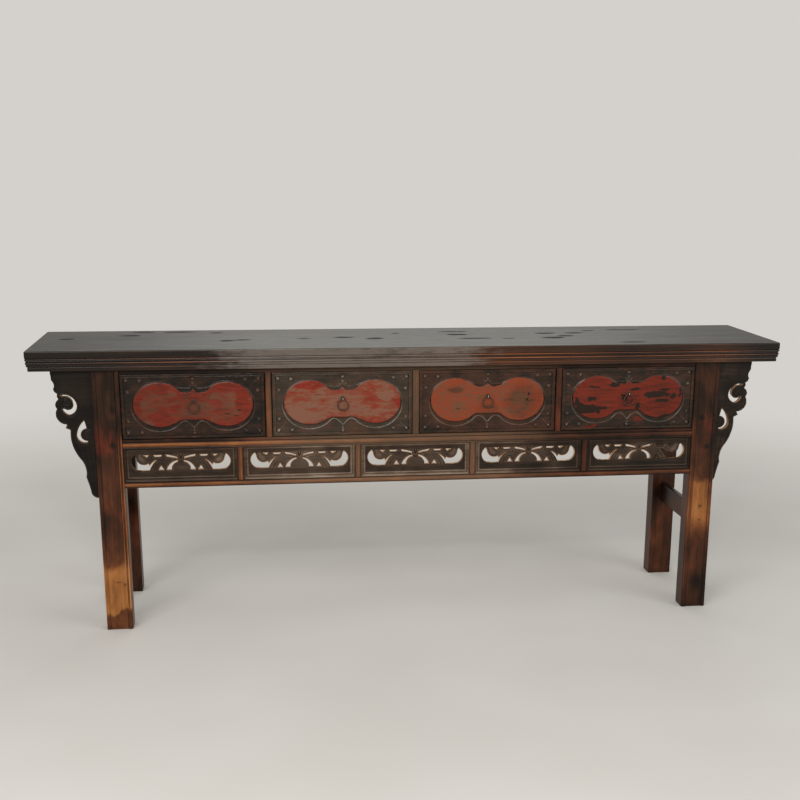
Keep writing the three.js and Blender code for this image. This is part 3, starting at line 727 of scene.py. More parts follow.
def relief_board(u, v, front, back_depth, quads, triangles, shift=(0, 0)):
    """Closes a relief into a board: its front, a flat back that may be shifted, and the edges between.

    Depth runs to the back. Each free edge of the faces carries a wall. Faces that only meet others at
    a point are left out first, which joins the two openings there.
    """
    count = u.size
    open_edges = free_edges(quads, triangles, count)
    pinched = np.bincount(open_edges[:, 0], minlength=count) > 1
    if pinched.any():
        quads = quads[~pinched[quads].any(1)]
        triangles = triangles[~pinched[triangles].any(1)]
        open_edges = free_edges(quads, triangles, count)
    walls = np.stack([open_edges[:, 1], open_edges[:, 0], open_edges[:, 0] + count,
                      open_edges[:, 1] + count], axis=1)
    points = np.concatenate([
        np.stack([u.ravel(), front.ravel(), v.ravel()], axis=1),
        np.stack([(u + shift[0]).ravel(), np.full(count, back_depth), (v + shift[1]).ravel()], axis=1)])
    quad_group = np.concatenate([quads, quads[:, ::-1] + count, walls])
    triangle_group = np.concatenate([triangles, triangles[:, ::-1] + count])
    used = np.unique(np.concatenate([quad_group.ravel(), triangle_group.ravel()]))
    place = np.zeros(2 * count, int)
    place[used] = np.arange(len(used))
    return points[used], [place[quad_group], place[triangle_group]], used


def board_values(used, fields):
    """Values of a relief board's used points, by name, from pairs of (front field, value at the back)."""
    return {key: np.concatenate([front.ravel(), np.broadcast_to(back, front.shape).ravel()])[used]
            for key, (front, back) in fields.items()}


# Top board

# Scars on the upper face as [x, y, half length, half depth], in millimetres
SCARS = np.array([
    [-845, 199, 42, 12], [-884, 106, 40, 14], [-734, 190, 60, 10], [-1073, 45, 26, 16], [-576, -32, 20, 18],
    [-529, -15, 36, 12], [-613, 162, 20, 9], [-207, 18, 34, 12], [-110, -15, 32, 20], [-28, 104, 14, 10],
    [-333, -1, 20, 8], [170, 131, 60, 10], [166, 57, 30, 16], [209, -41, 56, 12], [319, -46, 26, 10],
    [463, 68, 34, 16], [470, -44, 34, 18], [564, 68, 30, 12], [517, 0, 24, 14], [746, 138, 60, 9],
    [698, -174, 42, 10], [626, 121, 26, 8],
])


def top_edge_profile():
    """The moulded edge from the underside up as rows of inset, height, wear and grime.

    Lower band, a flat, two half-elliptic reeds with a hollow between them, the flat face, and a
    quarter circle for the upper arris.
    """
    low, high = box_of("top_board")
    thick = high[2] - low[2]
    arris = 3.6
    face_foot = 39.2

    def reed(middle, half, crest, sink, rub):
        """A half ellipse: its inset grows by the sink from the crest to both edges."""
        return [[crest + sink * (1 - half_ellipse(t)), middle + half * t,
                 0.14 + rub * hump(t, 0.1, 0.5), 0.0] for t in np.linspace(-1, 1, 11)]

    rows = [[6.8, 0.0, 0.2, 0.3], [6.0, 0.8, 0.30, 0.0], [6.0, 4.0, 0.18, 0], [6.0, 8.0, 0.16, 0],
            [6.0, 10.6, 0.40, 0], [6.4, 11.6, 0.44, 0.1], [8.0, 12.2, 0.1, 1.0], [8.2, 13.2, 0.1, 1.0],
            [3.0, 13.8, 0.22, 0.2], [3.0, 16.0, 0.14, 0.1], [3.2, 18.5, 0.14, 0.2], [3.4, 20.2, 0.1, 0.7]]
    rows += reed(23.5, 2.9, 0.8, 2.4, 0.48)
    rows += [[2.8, 26.8, 0.1, 0.9], [2.4, 28.0, 0.12, 0.5], [2.4, 30.4, 0.14, 0.4], [2.8, 31.6, 0.1, 0.9]]
    rows += reed(34.7, 2.7, 0.0, 2.2, 0.36)
    rows += [[1.7, 37.8, 0.1, 0.9], [1.5, 38.6, 0.1, 0.8]]
    for rise in np.linspace(face_foot, thick - arris, 10):
        t = (rise - face_foot) / (thick - arris - face_foot)
        rows.append([0.0, rise, 0.14 + 0.1 * (2 * t - 1) ** 8, 0.0])
    for turn in np.linspace(0, np.pi / 2, 6)[1:]:
        rows.append([arris * (1 - np.cos(turn)), thick - arris * (1 - np.sin(turn)), 0.26, 0.0])
    return np.array(rows) + np.array([0, low[2], 0, 0])


def top_columns(half):
    """Places across the top as shares from -1 to 1 of half its size, closer together near both edges."""
    near = np.array([0, 0.8, 2, 4, 7, 11, 16])
    inner = spaced(24, 2 * half - 24, 9)
    return np.concatenate([near, inner, 2 * half - near[::-1]]) / half - 1


def closing_numbers(columns, rows, ring_start, inner_start):
    """Point numbers of a grid whose border is a ring of points and whose other points follow in rows.

    The ring starts at the near left corner and runs anticlockwise seen from above.
    """
    numbers = np.empty((rows, columns), int)
    numbers[0, :] = ring_start + np.arange(columns)
    numbers[:, -1] = ring_start + columns - 1 + np.arange(rows)
    numbers[-1, ::-1] = ring_start + columns + rows - 2 + np.arange(columns)
    numbers[::-1, 0] = np.append(ring_start + 2 * columns + rows - 3 + np.arange(rows - 1), ring_start)
    inner = (rows - 2, columns - 2)
    numbers[1:-1, 1:-1] = inner_start + np.arange(np.prod(inner)).reshape(inner)
    return numbers


def upper_painted_sheen(x):
    """Painted sheen of the upper face at a place along the table: lighter grey towards the middle, where
    the reflection falls.
    """
    return smooth(-900, -350, x) * smooth(900, 300, x)


def upper_relief(half, x, y):
    """Height of the worn upper face under its edge, and how scarred it is, at each place."""
    scarred = np.zeros(x.shape)
    for scar_x, scar_y, reach_x, reach_y in SCARS:
        scarred = np.maximum(scarred, hump(x, scar_x, reach_x) * hump(y, scar_y, reach_y))
    from_edge = np.minimum(half[0] - np.abs(x), half[1] - np.abs(y))
    hollow = 0.9 * (0.5 + 0.5 * drift(x, y * 3, 700, 11)) * np.clip(from_edge / 40, 0, 1)
    return -(hollow + 1.3 * scarred), scarred


def top_rings(profile, half, share_x, share_y, upper_face):
    """The moulded edge: a ring of points and their values for each row of its profile.

    A ring's point at a share of the long or short side lies at that share of the ring's own
    rectangle, and the corners are rubbed round.
    """
    ones_x, ones_y = np.ones(len(share_x) - 1), np.ones(len(share_y) - 1)
    ring_x = np.concatenate([share_x[:-1], ones_y, share_x[:0:-1], -ones_y])
    ring_y = np.concatenate([-ones_x, share_y[:-1], ones_x, share_y[:0:-1]])
    inset, height, wear, grime = (profile[:, k][:, None] for k in range(4))
    reach_x, reach_y = half[0] - inset, half[1] - inset
    x, y = ring_x * reach_x, ring_y * reach_y
    gap = np.hypot(np.maximum(0, reach_x - np.abs(x)), np.maximum(0, reach_y - np.abs(y)))
    rub = 1.6 * hump(gap, 0, 3.0)
    x, y = x - np.sign(x) * rub, y - np.sign(y) * rub
    z = np.broadcast_to(height, x.shape)
    lively = smooth(-1060, -700, x) * (1 - 0.45 * smooth(250, 700, x))
    browned = smooth(-150, 250, x) * smooth(1150, 950, x) * (y < 0)
    worn = 0.12 + (wear - 0.12) * (0.35 + 0.65 * lively) + 0.10 * drift(x, y * 2, 900, 3) + 0.18 * browned
    upper = smooth(upper_face - 2.5, upper_face - 0.4, z)
    # painted sheen: the front edge lighter grey in the middle of the table
    front_painted_sheen = 0.8 * smooth(-700, -480, x) * smooth(340, 60, x) * (y < 0)
    return {"points": np.stack([x, y, z], axis=2).reshape(-1, 3), "wear": worn.ravel(),
            "grime": np.broadcast_to(grime, x.shape).ravel(), "upper": upper.ravel(),
            "haze": np.where(upper > 0.5, upper_painted_sheen(x), front_painted_sheen).ravel(), "scars": np.zeros(x.size)}


def make_top():
    """The top: stacked rings that follow the moulded edge, closed by a grid below and above.

    The rings and both grids share the same columns, so they join point to point.
    """
    low, high = box_of("top_board")
    half = (high - low)[:2] / 2
    share_x, share_y = top_columns(half[0]), top_columns(half[1])
    profile = top_edge_profile()
    edge = top_rings(profile, half, share_x, share_y, high[2])
    around = 2 * (len(share_x) + len(share_y) - 2)
    parts = [edge]
    faces = [grid_faces(len(profile), around, wrap_columns=True)]
    total = len(edge["points"])
    cells = grid_faces(len(share_y), len(share_x))
    for level, upwards in ((0, False), (len(profile) - 1, True)):
        inset, height = profile[level, :2]
        x, y = np.meshgrid(share_x[1:-1] * (half[0] - inset), share_y[1:-1] * (half[1] - inset))
        sunk, scarred = upper_relief(half, x, y) if upwards else (0 * x, 0 * x)
        numbers = closing_numbers(len(share_x), len(share_y), level * around, total)
        faces.append(numbers.ravel()[cells if upwards else cells[:, ::-1]])
        parts.append({"points": np.stack([x, y, height + sunk], 2).reshape(-1, 3),
                      "wear": np.full(x.size, 0.3), "grime": np.zeros(x.size),
                      "upper": np.full(x.size, float(upwards)), "haze": upwards * upper_painted_sheen(x).ravel(),
                      "scars": scarred.ravel()})
        total += x.size
    values = {key: np.concatenate([part[key] for part in parts]) for key in edge}
    points = values.pop("points")
    make_piece("top", points, [np.concatenate(faces)], "top_finish", CARCASE, ["top_board"], values)


# Legs, rails, posts and mullions

# Wear of a flat moulding and of the unseen back of a moulded bar
FLAT_WEAR = 0.22
BACK_WEAR = 0.2

# Posts and mullions as node, width of the bead, rub of the bead and share of the reddish coat
UPRIGHTS = (
    ("post_1", 18, 0.52, 0.35), ("post_2", 18, 0.42, 0.1), ("post_3", 18, 0.28, 0.5),
    ("mullion_1", 17, 0.68, 0.2), ("mullion_2", 17, 0.70, 0.2), ("mullion_3", 17, 0.54, 0.2),
    ("mullion_4", 17, 0.42, 0.4),
)

# Knots and cracks of the front legs as [across from the inner edge, height, half width, half height]
LEG_MARKS = {
    "left": [[18, 147, 4.5, 4.0], [36, 156, 15, 1.8], [52, 161, 7, 1.2], [30, 590, 10, 14],
             [24, 700, 12, 18]],
    "right": [[42, 347, 7, 4.5], [42, 300, 3.5, 4.5], [30, 640, 14, 12], [52, 545, 12, 10],
              [47, 90, 26, 30]],
}


def dust_and_sheen_at(x):
    """Dust and painted sheen on the front at a place along the table: most between the second and fourth
    frieze boards.
    """
    return smooth(-750, -250, x) * smooth(600, 180, x)


def moulded_face(low, high, beads, step=0.8, even=0.6):
    """A moulded face from one edge to the other as places, depths, wear and grime.

    The face is flat at the drop. A bead [start, width, rub] rises from it to 0 as a half ellipse,
    drop (1 - root(1 - t t)) at share t from its middle, and a fine groove runs beside each bead. The
    even share of the bead's rub covers it all, and the rest lies in two thin lines beside its crest.
    """
    size = sizes()
    drop = size["bead_drop"]
    bead_wear, groove_reach, from_corner = 0.24, 0.9, 1
    s = spaced(low, high, step)
    depth = np.full_like(s, drop)
    wear = np.full_like(s, FLAT_WEAR)
    grime = np.zeros_like(s)
    for start, width, rub in beads:
        middle = start + width / 2
        t = (s - middle) / (width / 2)
        on = np.abs(t) <= 1
        depth = np.where(on, drop * (1 - half_ellipse(t)), depth)
        lines = np.maximum(hump(t, 0.22, 0.22), 0.5 * hump(t, -0.5, 0.16))
        lines = even * half_ellipse(t) + (1 - even) * lines
        wear = np.where(on, bead_wear + (rub - bead_wear) * lines, wear)
        for edge in (start, start + width):
            if low + from_corner < edge < high - from_corner:
                cut = hump(s, edge, groove_reach)
                depth = depth + size["groove"] * cut
                grime = np.maximum(grime, cut)
    return s, depth, wear, grime


def leg_rub(side, height, across):
    """Rubbing of a leg by height and place across: a bare stretch, browner above and below it.

    The left leg is bare above its foot, the right one at the height of the stretcher.
    """
    wave = 14 * drift(across * 2, height, 130, 17 + side)
    z = height + wave
    if side < 0:
        return (0.19 * smooth(640, 460, z) + 0.09 * smooth(330, 215, z) + 0.28 * smooth(225, 185, z)
                - 0.30 * smooth(66, 50, z))
    bare = smooth(225, 300, z) * smooth(452, 425, z) * smooth(92, 62, across + 0.1 * wave)
    return 0.15 * smooth(620, 500, z) + 0.30 * bare - 0.13 * smooth(220, 60, z)


def leg_section(width, depth):
    """A leg's section from its inner face corner as [across, deep], and the wear and grime there."""
    s, drop, wear, grime = moulded_face(0, width, [[0, 14, 0.26], [width - 12, 12, 0.10]], 0.9, 0.35)
    corner = 1.5
    back = np.clip(np.linspace(width, 0, 20), corner, width - corner)
    flank = spaced(drop[-1], depth - corner, 6)[1:]
    outline = np.concatenate([
        np.stack([s, drop], 1), np.stack([np.full_like(flank, width), flank], 1),
        np.stack([back, np.full_like(back, depth)], 1), np.stack([np.zeros_like(flank), flank[::-1]], 1)])
    extra = len(outline) - len(s)
    return outline, np.append(wear, np.full(extra, FLAT_WEAR)), np.append(grime, np.zeros(extra))


def make_leg(face_name, side_name):
    """A leg: its section with a bead on both edges of the outer face, carried up from the floor."""
    node = f"leg_{face_name}_{side_name}"
    low, high = box_of(node)
    side = SIDES[side_name]
    face = -1 if face_name == "front" else 1
    width, depth = high[0] - low[0], high[1] - low[1]
    outline, wear, grime = leg_section(width, depth)
    inner_x = low[0] if side > 0 else high[0]
    face_y = high[1] - outline[:, 1] if face > 0 else low[1] + outline[:, 1]
    section = np.stack([inner_x + side * outline[:, 0], face_y], 1)
    if side * face > 0:
        section, wear, grime = section[::-1], wear[::-1], grime[::-1]
    points, faces, z = carried_section(section, spaced(low[2], high[2], 5), 2.0)
    repeat = len(points) // len(section)
    across = np.abs(points[:, 0] - inner_x)
    points[:, 0] += 0.4 * drift(z, across, 520, 21 + 2 * side + face)
    from_face = high[1] - points[:, 1] if face > 0 else points[:, 1] - low[1]
    shown = from_face < 10
    worn = np.tile(wear, repeat) + 0.06 * drift(z, across, 200, 5 + side)
    marks = np.zeros_like(z)
    lines = (hump(across, 13.0, 1.5) + 0.8 * hump(across, 3.2, 2.0)) * shown
    if face < 0:
        worn += leg_rub(side, z, across) * np.where(across > 14, 1.0, 0.55)
        worn += lines * 0.56 * smooth(640, 600, z) * smooth(60, 80, z) * (1.0 if side < 0 else 0.3)
        for mark_s, mark_z, reach_s, reach_z in LEG_MARKS[side_name]:
            marks = np.maximum(marks, hump(across, mark_s, reach_s) * hump(z, mark_z, reach_z) * shown)
    else:
        worn += 0.12 * smooth(620, 420, z) + 0.12 * lines
    worn += 0.10 * hump(across, width, 2.5) * shown * smooth(640, 560, z)
    glow_above, glow_below = (0.36, 0.24) if side < 0 else (0.14, 0.06)
    warm = (0.12 + glow_above * smooth(700, 600, z) * smooth(540, 580, z)
            + glow_below * smooth(440, 400, z) * smooth(60, 260, z))
    dirt = np.tile(grime, repeat) * (0.5 + 0.5 * smooth(200, 300, z)) + 0.85 * marks
    dirt += 0.35 * smooth(26, 8, z)
    make_piece(f"{node}_lacquered", points, faces, "frame_finish_z", CARCASE, [node],
               {"wear": worn, "grime": np.clip(dirt, 0, 1), "warm": warm, "dust": 0 * warm})


def make_rail(node, beads, fade):
    """A front rail: its moulded section carried along the table.

    Fade says where along the table the rubbing starts to fall, where it has fallen, and by what share.
    """
    low, high = box_of(node)
    end = box_of("leg_front_left")[1][0]
    s, drop, wear, grime = moulded_face(low[2], high[2], beads, even=0.62)
    outline = np.concatenate([np.stack([low[1] + drop, s], 1), [[high[1], high[2]], [high[1], low[2]]]])
    points, faces, _ = carried_section(outline[::-1], spaced(end, -end, 8), 0.2)
    points = points[:, [2, 0, 1]]
    x, z = points[:, 0], points[:, 2]
    repeat = len(points) // len(outline)
    rubbed = np.tile(np.append(wear, [BACK_WEAR, BACK_WEAR])[::-1], repeat)
    dirt = np.tile(np.append(grime, [0, 0])[::-1], repeat)
    fade_start, fade_end, fade_share = fade
    left = 1 - fade_share * smooth(fade_start, fade_end, x)
    worn = FLAT_WEAR + (rubbed - FLAT_WEAR) * left + 0.07 * drift(x, z * 4, 520, 41)
    warm = 0.22 + 0.25 * drift(x, z, 700, 43)
    # painted shade: the plain upper rail, under the top's overhang, is darkened
    under_top_shade = 0.0 if beads else 0.5
    make_piece(f"{node}_lacquered", points, faces, "frame_finish_x", CARCASE, [node],
               {"wear": worn, "grime": dirt + under_top_shade, "warm": warm, "dust": 0.8 * dust_and_sheen_at(x)})


def make_rails():
    """The front rails: the upper one plain, a bead near the middle one's top and the bottom one's foot."""
    make_rail("rail_upper", [], (0, 600, 0.0))
    middle_bead, bottom_bead = 16, 14
    middle_top = box_of("rail_middle")[1][2]
    make_rail("rail_middle", [[middle_top - 9 - middle_bead, middle_bead, 0.84]], (-300, 440, 0.74))
    bottom_foot = box_of("rail_bottom")[0][2]
    make_rail("rail_bottom", [[bottom_foot + 2, bottom_bead, 0.74]], (-300, 400, 0.34))


def make_upright(node, bead, rub, warmth):
    """A post or mullion: one round bead on its face, carried up between two rails."""
    low, high = box_of(node)
    start = (low[0] + high[0] - bead) / 2
    s, drop, wear, grime = moulded_face(low[0], high[0], [[start, bead, rub]])
    outline = np.concatenate([np.stack([s, low[1] + drop], 1), [[high[0], high[1]], [low[0], high[1]]]])
    points, faces, _ = carried_section(outline, spaced(low[2], high[2], 6), 0.2)
    x, z = points[:, 0], points[:, 2]
    repeat = len(points) // len(outline)
    rubbed = np.tile(np.append(wear, [BACK_WEAR, BACK_WEAR]), repeat)
    dirt = np.tile(np.append(grime, [0, 0]), repeat)
    worn = np.maximum(rubbed, 0.54 * rub) + 0.07 * drift(z, x, 150, 61)
    make_piece(f"{node}_lacquered", points, faces, "frame_finish_z", CARCASE, [node],
               {"wear": worn, "grime": dirt, "warm": np.full_like(x, warmth), "dust": 0.62 * dust_and_sheen_at(x)})


# Boards of the carcase and the drawers

def make_board(node, axis, finish, radius=2.0, low=None, high=None, body=CARCASE):
    """A plain board with rounded edges in the place of a node, its grain along an axis."""
    node_low, node_high = box_of(node)
    low = node_low if low is None else low
    high = node_high if high is None else high
    order = {"x": (1, 2, 0), "y": (2, 0, 1), "z": (0, 1, 2)}[axis]
    section = board_section(low[list(order[:2])], high[list(order[:2])], radius)
    points, faces, _ = carried_section(section, spaced(low[order[2]], high[order[2]], 25), radius)
    points = points[:, np.argsort(order)]
    wear = 0.26 + 0.08 * drift(points[:, 0] + points[:, 1], points[:, 2], 400, 71)
    make_piece(f"{node}_board", points, faces, f"{finish}_{axis}", body, [node],
               {"wear": wear, "grime": 0 * wear, "warm": 0 * wear + 0.15, "dust": 0 * wear})


def make_carcase_boards():
    """Side boards, stretchers and back rail, lacquered, and the back board, floor and guides, plain."""
    leg_end, leg_back, _ = box_of("leg_front_left")[1]
    half_thick, in_leg = 10, 2
    for side_name in SIDES:
        make_board(f"side_board_{side_name}", "y", "frame_finish")
        stretcher = f"side_stretcher_{side_name}"
        low, high = box_of(stretcher)
        low[0], high[0] = (low[0] + high[0]) / 2 + np.array([-half_thick, half_thick])
        low[1], high[1] = leg_back - in_leg, in_leg - leg_back
        make_board(stretcher, "y", "frame_finish", 2.5, low, high)
    low, high = box_of("back_rail")
    low[0], high[0] = leg_end, -leg_end
    make_board("back_rail", "x", "frame_finish", 2.0, low, high)
    make_board("back_board", "x", "plain_wood", 1.5)
    make_board("drawer_floor", "x", "plain_wood", 1.0)
    for number in (1, 2, 3):
        make_board(f"drawer_guide_{number}", "y", "plain_wood", 1.5)


def make_drawer_box(number):
    """A drawer's sides, back and bottom of plain wood."""
    body = f"drawer_{number}"
    for side_name in SIDES:
        make_board(f"{body}_side_{side_name}", "y", "plain_wood", 1.5, body=body)
    make_board(f"{body}_back", "x", "plain_wood", 1.5, body=body)
    make_board(f"{body}_bottom", "x", "plain_wood", 1.0, body=body)


# Frieze boards

# Openings of the left half of a frieze board, from the middle of the pattern
OPENWORK = {
    "crescent": [[-137, 24, 14], [-134, -22, 1], [-96, -24, -2], [-75, 7, 2],
                 [-95, -11, 0], [-98, -3, -11.5], [-133, 15, 0]],
    "brow_nick": [[-111, 23, 0], [-97, 23, 0], [-102, 17, 0]],
    "brow_slit": [[-81, 23, 0], [-58, 23, 0], [-61, 18, 0], [-78, 18, 0]],
    "crest_slit": [[-44, 24, -1], [-11, 16, 0], [-11, 12, 1], [-42, 18, 0]],
    "tusk": [[-43, -23, -6.5], [-10, 6, 0], [-10, 2, 3.5], [-29, -16, 0], [-29, -23, 0]],
    "tooth_nick": [[-67, -23, 0], [-60, -11, 0], [-52, -23, 0]],
}

# How far the middle of the openwork lies above a frieze board's own middle
OPENWORK_RISE = 6.0


def dragon_carving(x, z, edge):
    """Carving of the facing dragons at places from the pattern's middle and distances from an opening.

    Gives the distance inside the carved band, a long shape with round ends, the two lines that follow
    an opening's edge, and the feather strokes, which are waves across the direction of the body.
    """
    band_half, band_end, pitch = 27, 118, 7.4
    away = np.abs(x)
    band = band_half - np.hypot(np.maximum(away - band_end, 0) * 0.95, z)
    follow = hump(edge, 3.6, 0.8) + 0.7 * hump(edge, 7.4, 0.8)
    lean = np.where(away > 60, 0.9, -0.75)
    waves = 0.5 + 0.5 * np.cos(2 * np.pi * (away + lean * z + 0.012 * z * z) / pitch)
    strokes = waves * smooth(6.0, 9.0, edge) * smooth(112, 100, away) * smooth(-3, 4, band)
    return band, follow, strokes


def frieze_rim_shade(number, across):
    """Painted shade over the pale rims where no light comes through the openings: the right part of the
    fifth board and the left end of the first.
    """
    if number == 5:
        return smooth(30, 60, across) * smooth(150, 120, across)
    if number == 1:
        return smooth(112, 126, -across)
    return 0 * across


def make_frieze(number):
    """A frieze board: facing scroll dragons cut through it, engraved along their forms, in a lined field.

    Relief in millimetres above the field: edges of openings fall off as a quarter circle, the lines and
    strokes of the dragons are cut in, and two lines and a bevel frame the field. The openings widen to
    the back.
    """
    node = f"frieze_board_{number}"
    low, high = box_of(node)
    step, depth = sizes()["carving_grid"], sizes()["carving_depth"]
    middle_x, middle_z = (low[0] + high[0]) / 2, (low[2] + high[2]) / 2 + OPENWORK_RISE
    holes = [carved_outline(rows) * [hand, 1] + [middle_x, middle_z]
             for rows in OPENWORK.values() for hand in (1, -1)]
    u, v = np.meshgrid(spaced(low[0], high[0], step), spaced(low[2], high[2], step))
    clear = 9
    left, right, bottom, top = low[0] - clear, high[0] + clear, low[2] - clear, high[2] + clear
    outer = np.array([[left, bottom], [right, bottom], [right, top], [left, top]])
    distance, near_u, near_v = wood_distance(u, v, outer, holes)
    cut_u, cut_v, quads, triangles = pierced_sheet(u, v, distance, near_u, near_v, step)
    x, z = cut_u - middle_x, cut_v - middle_z
    edge = np.maximum(distance, 0)
    band, follow, strokes = dragon_carving(x, z, edge)
    engraved = 0.75 * depth * (follow * smooth(-4, 2, band) + strokes)
    rim = hump(band, -1.5, 1.1) * smooth(80, 100, np.abs(x))
    # lines that frame the field, by their distance from its border
    border, side_margin, upper_margin = 5, 11.5, 6.0
    side = np.minimum(cut_u - low[0], high[0] - cut_u) - border
    lower, upper = cut_v - low[2] - border, high[2] - border - cut_v
    frame_line = np.minimum(np.minimum(side, lower) - side_margin, upper - upper_margin)
    line = hump(frame_line, 0, 1.3)
    second = hump(frame_line, -4.2, 0.9)
    foot_line = hump(lower, 1.5, 1.2) * (side > 2)
    bevel = smooth(-2.0, -9.0, frame_line)
    relief = (1.7 * line - 0.9 * second + 1.6 * bevel + 0.8 * foot_line - engraved - 0.8 * rim
              - 2.4 * (1 - dome(edge, 3.2)) + 0.25 * drift(cut_u, cut_v, 60, 80 + number))
    back = undercut(u, v, distance, flare=0.2, reach=7)
    points, faces, used = relief_board(cut_u, cut_v, low[1] + 1.0 - relief, high[1], quads, triangles, back)
    in_band = smooth(-3, 4, band)
    raised = np.clip(1 - follow - strokes, 0, 1) * in_band * smooth(2.0, 5.0, edge)
    warmth = (0.04, 0.12, 0.08, 0.02, 0.0)[number - 1]
    lit = 0.27 * dust_and_sheen_at(cut_u) * smooth(4, -3, frame_line)
    glint = 0.55 + 0.45 * smooth(60, -30, lower - upper)
    wear = 0.25 + warmth + lit + 0.34 * line * glint + 0.26 * foot_line + 0.24 * raised
    grime = np.clip(0.8 * follow * in_band + 0.7 * second + 0.8 * strokes, 0, 1)
    # pale rims round the openings: cut wood on the walls, and on the face a painted glow of the light
    # through them, stronger on the wood above an opening and dimmed by painted shade at the board ends
    above_opening = 0.3 + 0.7 * smooth(-1.5, 1.5, v - near_v)
    pale = 1.15 * smooth(3.6, 0.4, distance) * above_opening * (1 - 0.8 * frieze_rim_shade(number, x))
    on_edge = np.where(distance < SNAP * step, 1.0, 0.0)
    values = board_values(used, {"wear": (wear, 0.3), "grime": (grime, 0.1),
                                 "cut": (np.clip(pale, 0, 1), on_edge)})
    make_piece(f"frieze_{number}_carved", points, faces, "carved_finish", CARCASE, [node], values,
               crease=50)


# Spandrels

# Outline as [distance out from the leg, drop under the top, swell], and the openings round the discs
SPANDREL = [
    [120, 0, 0], [117, 30, -2], [110, 49, 0], [113, 55, 3], [103, 70, 0], [104, 79, 0],
    [100, 88, 7], [106, 116, 16], [80, 164, 0], [85, 175, 0], [71, 181, 10], [44, 275, -5.5],
    [34, 328, -1], [21, 380, 4], [0, 394, 0], [0, 0, 0],
]
SPANDREL_OPENINGS = [
    [[94, 75, -13.5], [48, 108, -7], [73, 134, -3], [90, 116, 0], [84, 116, 9.5], [57, 104, 9.5],
     [88, 78, 0]],
    [[29.5, 153.5, 4], [52, 193, 12], [23, 218.5, 0], [23, 215.5, -19], [24, 176.5, 0]],
]

# Discs as [distance out, drop, radius], places down the foot with the width that the strokes share there,
# and how much narrower each side is built
SPANDREL_DISCS = [[79, 94, 20], [24, 196, 20]]
SPANDREL_FOOT = [[200, 66], [275, 44], [328, 34], [380, 21]]
SPANDREL_TRIM = {"left": 0, "right": 12}


def spandrel_scrolls(out, down):
    """Rise of the two scrolled discs and their spiral grooves, whose phase grows with radius and turn."""
    pitch = 7.0
    rise = np.zeros_like(out)
    grooves = []
    for disc_out, disc_down, radius in SPANDREL_DISCS:
        far = np.hypot(out - disc_out, down - disc_down)
        turn = np.arctan2(down - disc_down, out - disc_out)
        phase = far / pitch - turn / (2 * np.pi)
        groove = hump((phase - np.round(phase)) * pitch, 0, 1.2)
        grooves.append(groove * smooth(radius + 2, radius - 3, far))
        rise = rise + 1.6 * dome(radius - far, radius)
    return rise, grooves


def spandrel_strokes(out, down, edge):
    """Three long carved strokes that run down towards the foot, spread over its width."""
    strokes, spread = 3.0, 5.5
    foot = smooth(205, 240, down) * smooth(372, 340, down)
    width = np.interp(down, *np.transpose(SPANDREL_FOOT))
    phase = out / np.maximum(width, 8) * strokes
    return hump((phase - np.round(phase)) * spread, 0, 1) * foot * smooth(5, 9, edge)


def make_spandrel(side_name):
    """A carved spandrel: lobed outline, openings round two scrolled discs, engraved along its forms.

    Edges fall off as quarter circles, and a line follows each edge at a set distance. The openings
    widen to the back.
    """
    node = f"spandrel_{side_name}"
    low, high = box_of(node)
    step, depth = sizes()["carving_grid"], sizes()["carving_depth"]
    side = SIDES[side_name]
    reach = np.abs(np.array(box_of(f"leg_front_{side_name}"))[:, 0]).max()
    start = reach - SPANDREL_TRIM[side_name]

    def placed(rows):
        """An outline beside this leg, from rows of distance out, drop and swell."""
        outline = carved_outline(rows)
        return np.stack([side * (start + outline[:, 0]), high[2] - outline[:, 1]], 1)

    holes = [placed(rows) for rows in SPANDREL_OPENINGS]
    u, v = np.meshgrid(spaced(low[0], high[0], step), spaced(low[2], high[2], step))
    distance, near_u, near_v = wood_distance(u, v, placed(SPANDREL), holes)
    cut_u, cut_v, quads, triangles = pierced_sheet(u, v, distance, near_u, near_v, step)
    from_holes = -np.maximum(*(inside_distance(u, v, hole)[0] for hole in holes))
    out, down = side * cut_u - start, high[2] - cut_v
    # the sides against the leg and under the top stay square
    held = np.minimum(np.abs(cut_u) - reach, down)
    edge = np.maximum(distance, np.where(held < distance + 0.5, 12, 0))
    follow = hump(edge, 6.0, 1.1)
    rise, grooves = spandrel_scrolls(out, down)
    strokes = spandrel_strokes(out, down, edge)
    engraved = depth * (0.9 * follow + 1.1 * sum(grooves) + 0.8 * strokes)
    relief = rise - 3.4 * (1 - dome(edge, 4.0)) - engraved + 0.3 * drift(out, down, 80, 90 + side)
    back = undercut(u, v, from_holes, flare=3.2, reach=9)
    points, faces, used = relief_board(cut_u, cut_v, low[1] + 0.3 - relief, high[1], quads, triangles, back)
    wear = (0.14 + 0.22 * hump(edge, 2.4, 1.8) * smooth(60, 110, down) + 0.07 * (side > 0)
            + 0.08 * drift(out, down, 120, 95 + side))
    grime = np.clip(0.75 * follow + 0.8 * np.maximum(*grooves) + 0.6 * strokes, 0, 1)
    # pale rims round the openings: cut wood on the walls, and on the face a painted glow of the light
    # through them
    pale = 0.62 * smooth(3.0, 0.4, np.abs(from_holes))
    on_edge = np.where(np.abs(from_holes) < SNAP * step, 1.0, 0.0)
    values = board_values(used, {"wear": (wear, 0.24), "grime": (grime, 0.1), "cut": (pale, on_edge)})
    make_piece(f"spandrel_{side_name}_carved", points, faces, "carved_finish", CARCASE, [node], values,
               crease=50)


# Drawer fronts

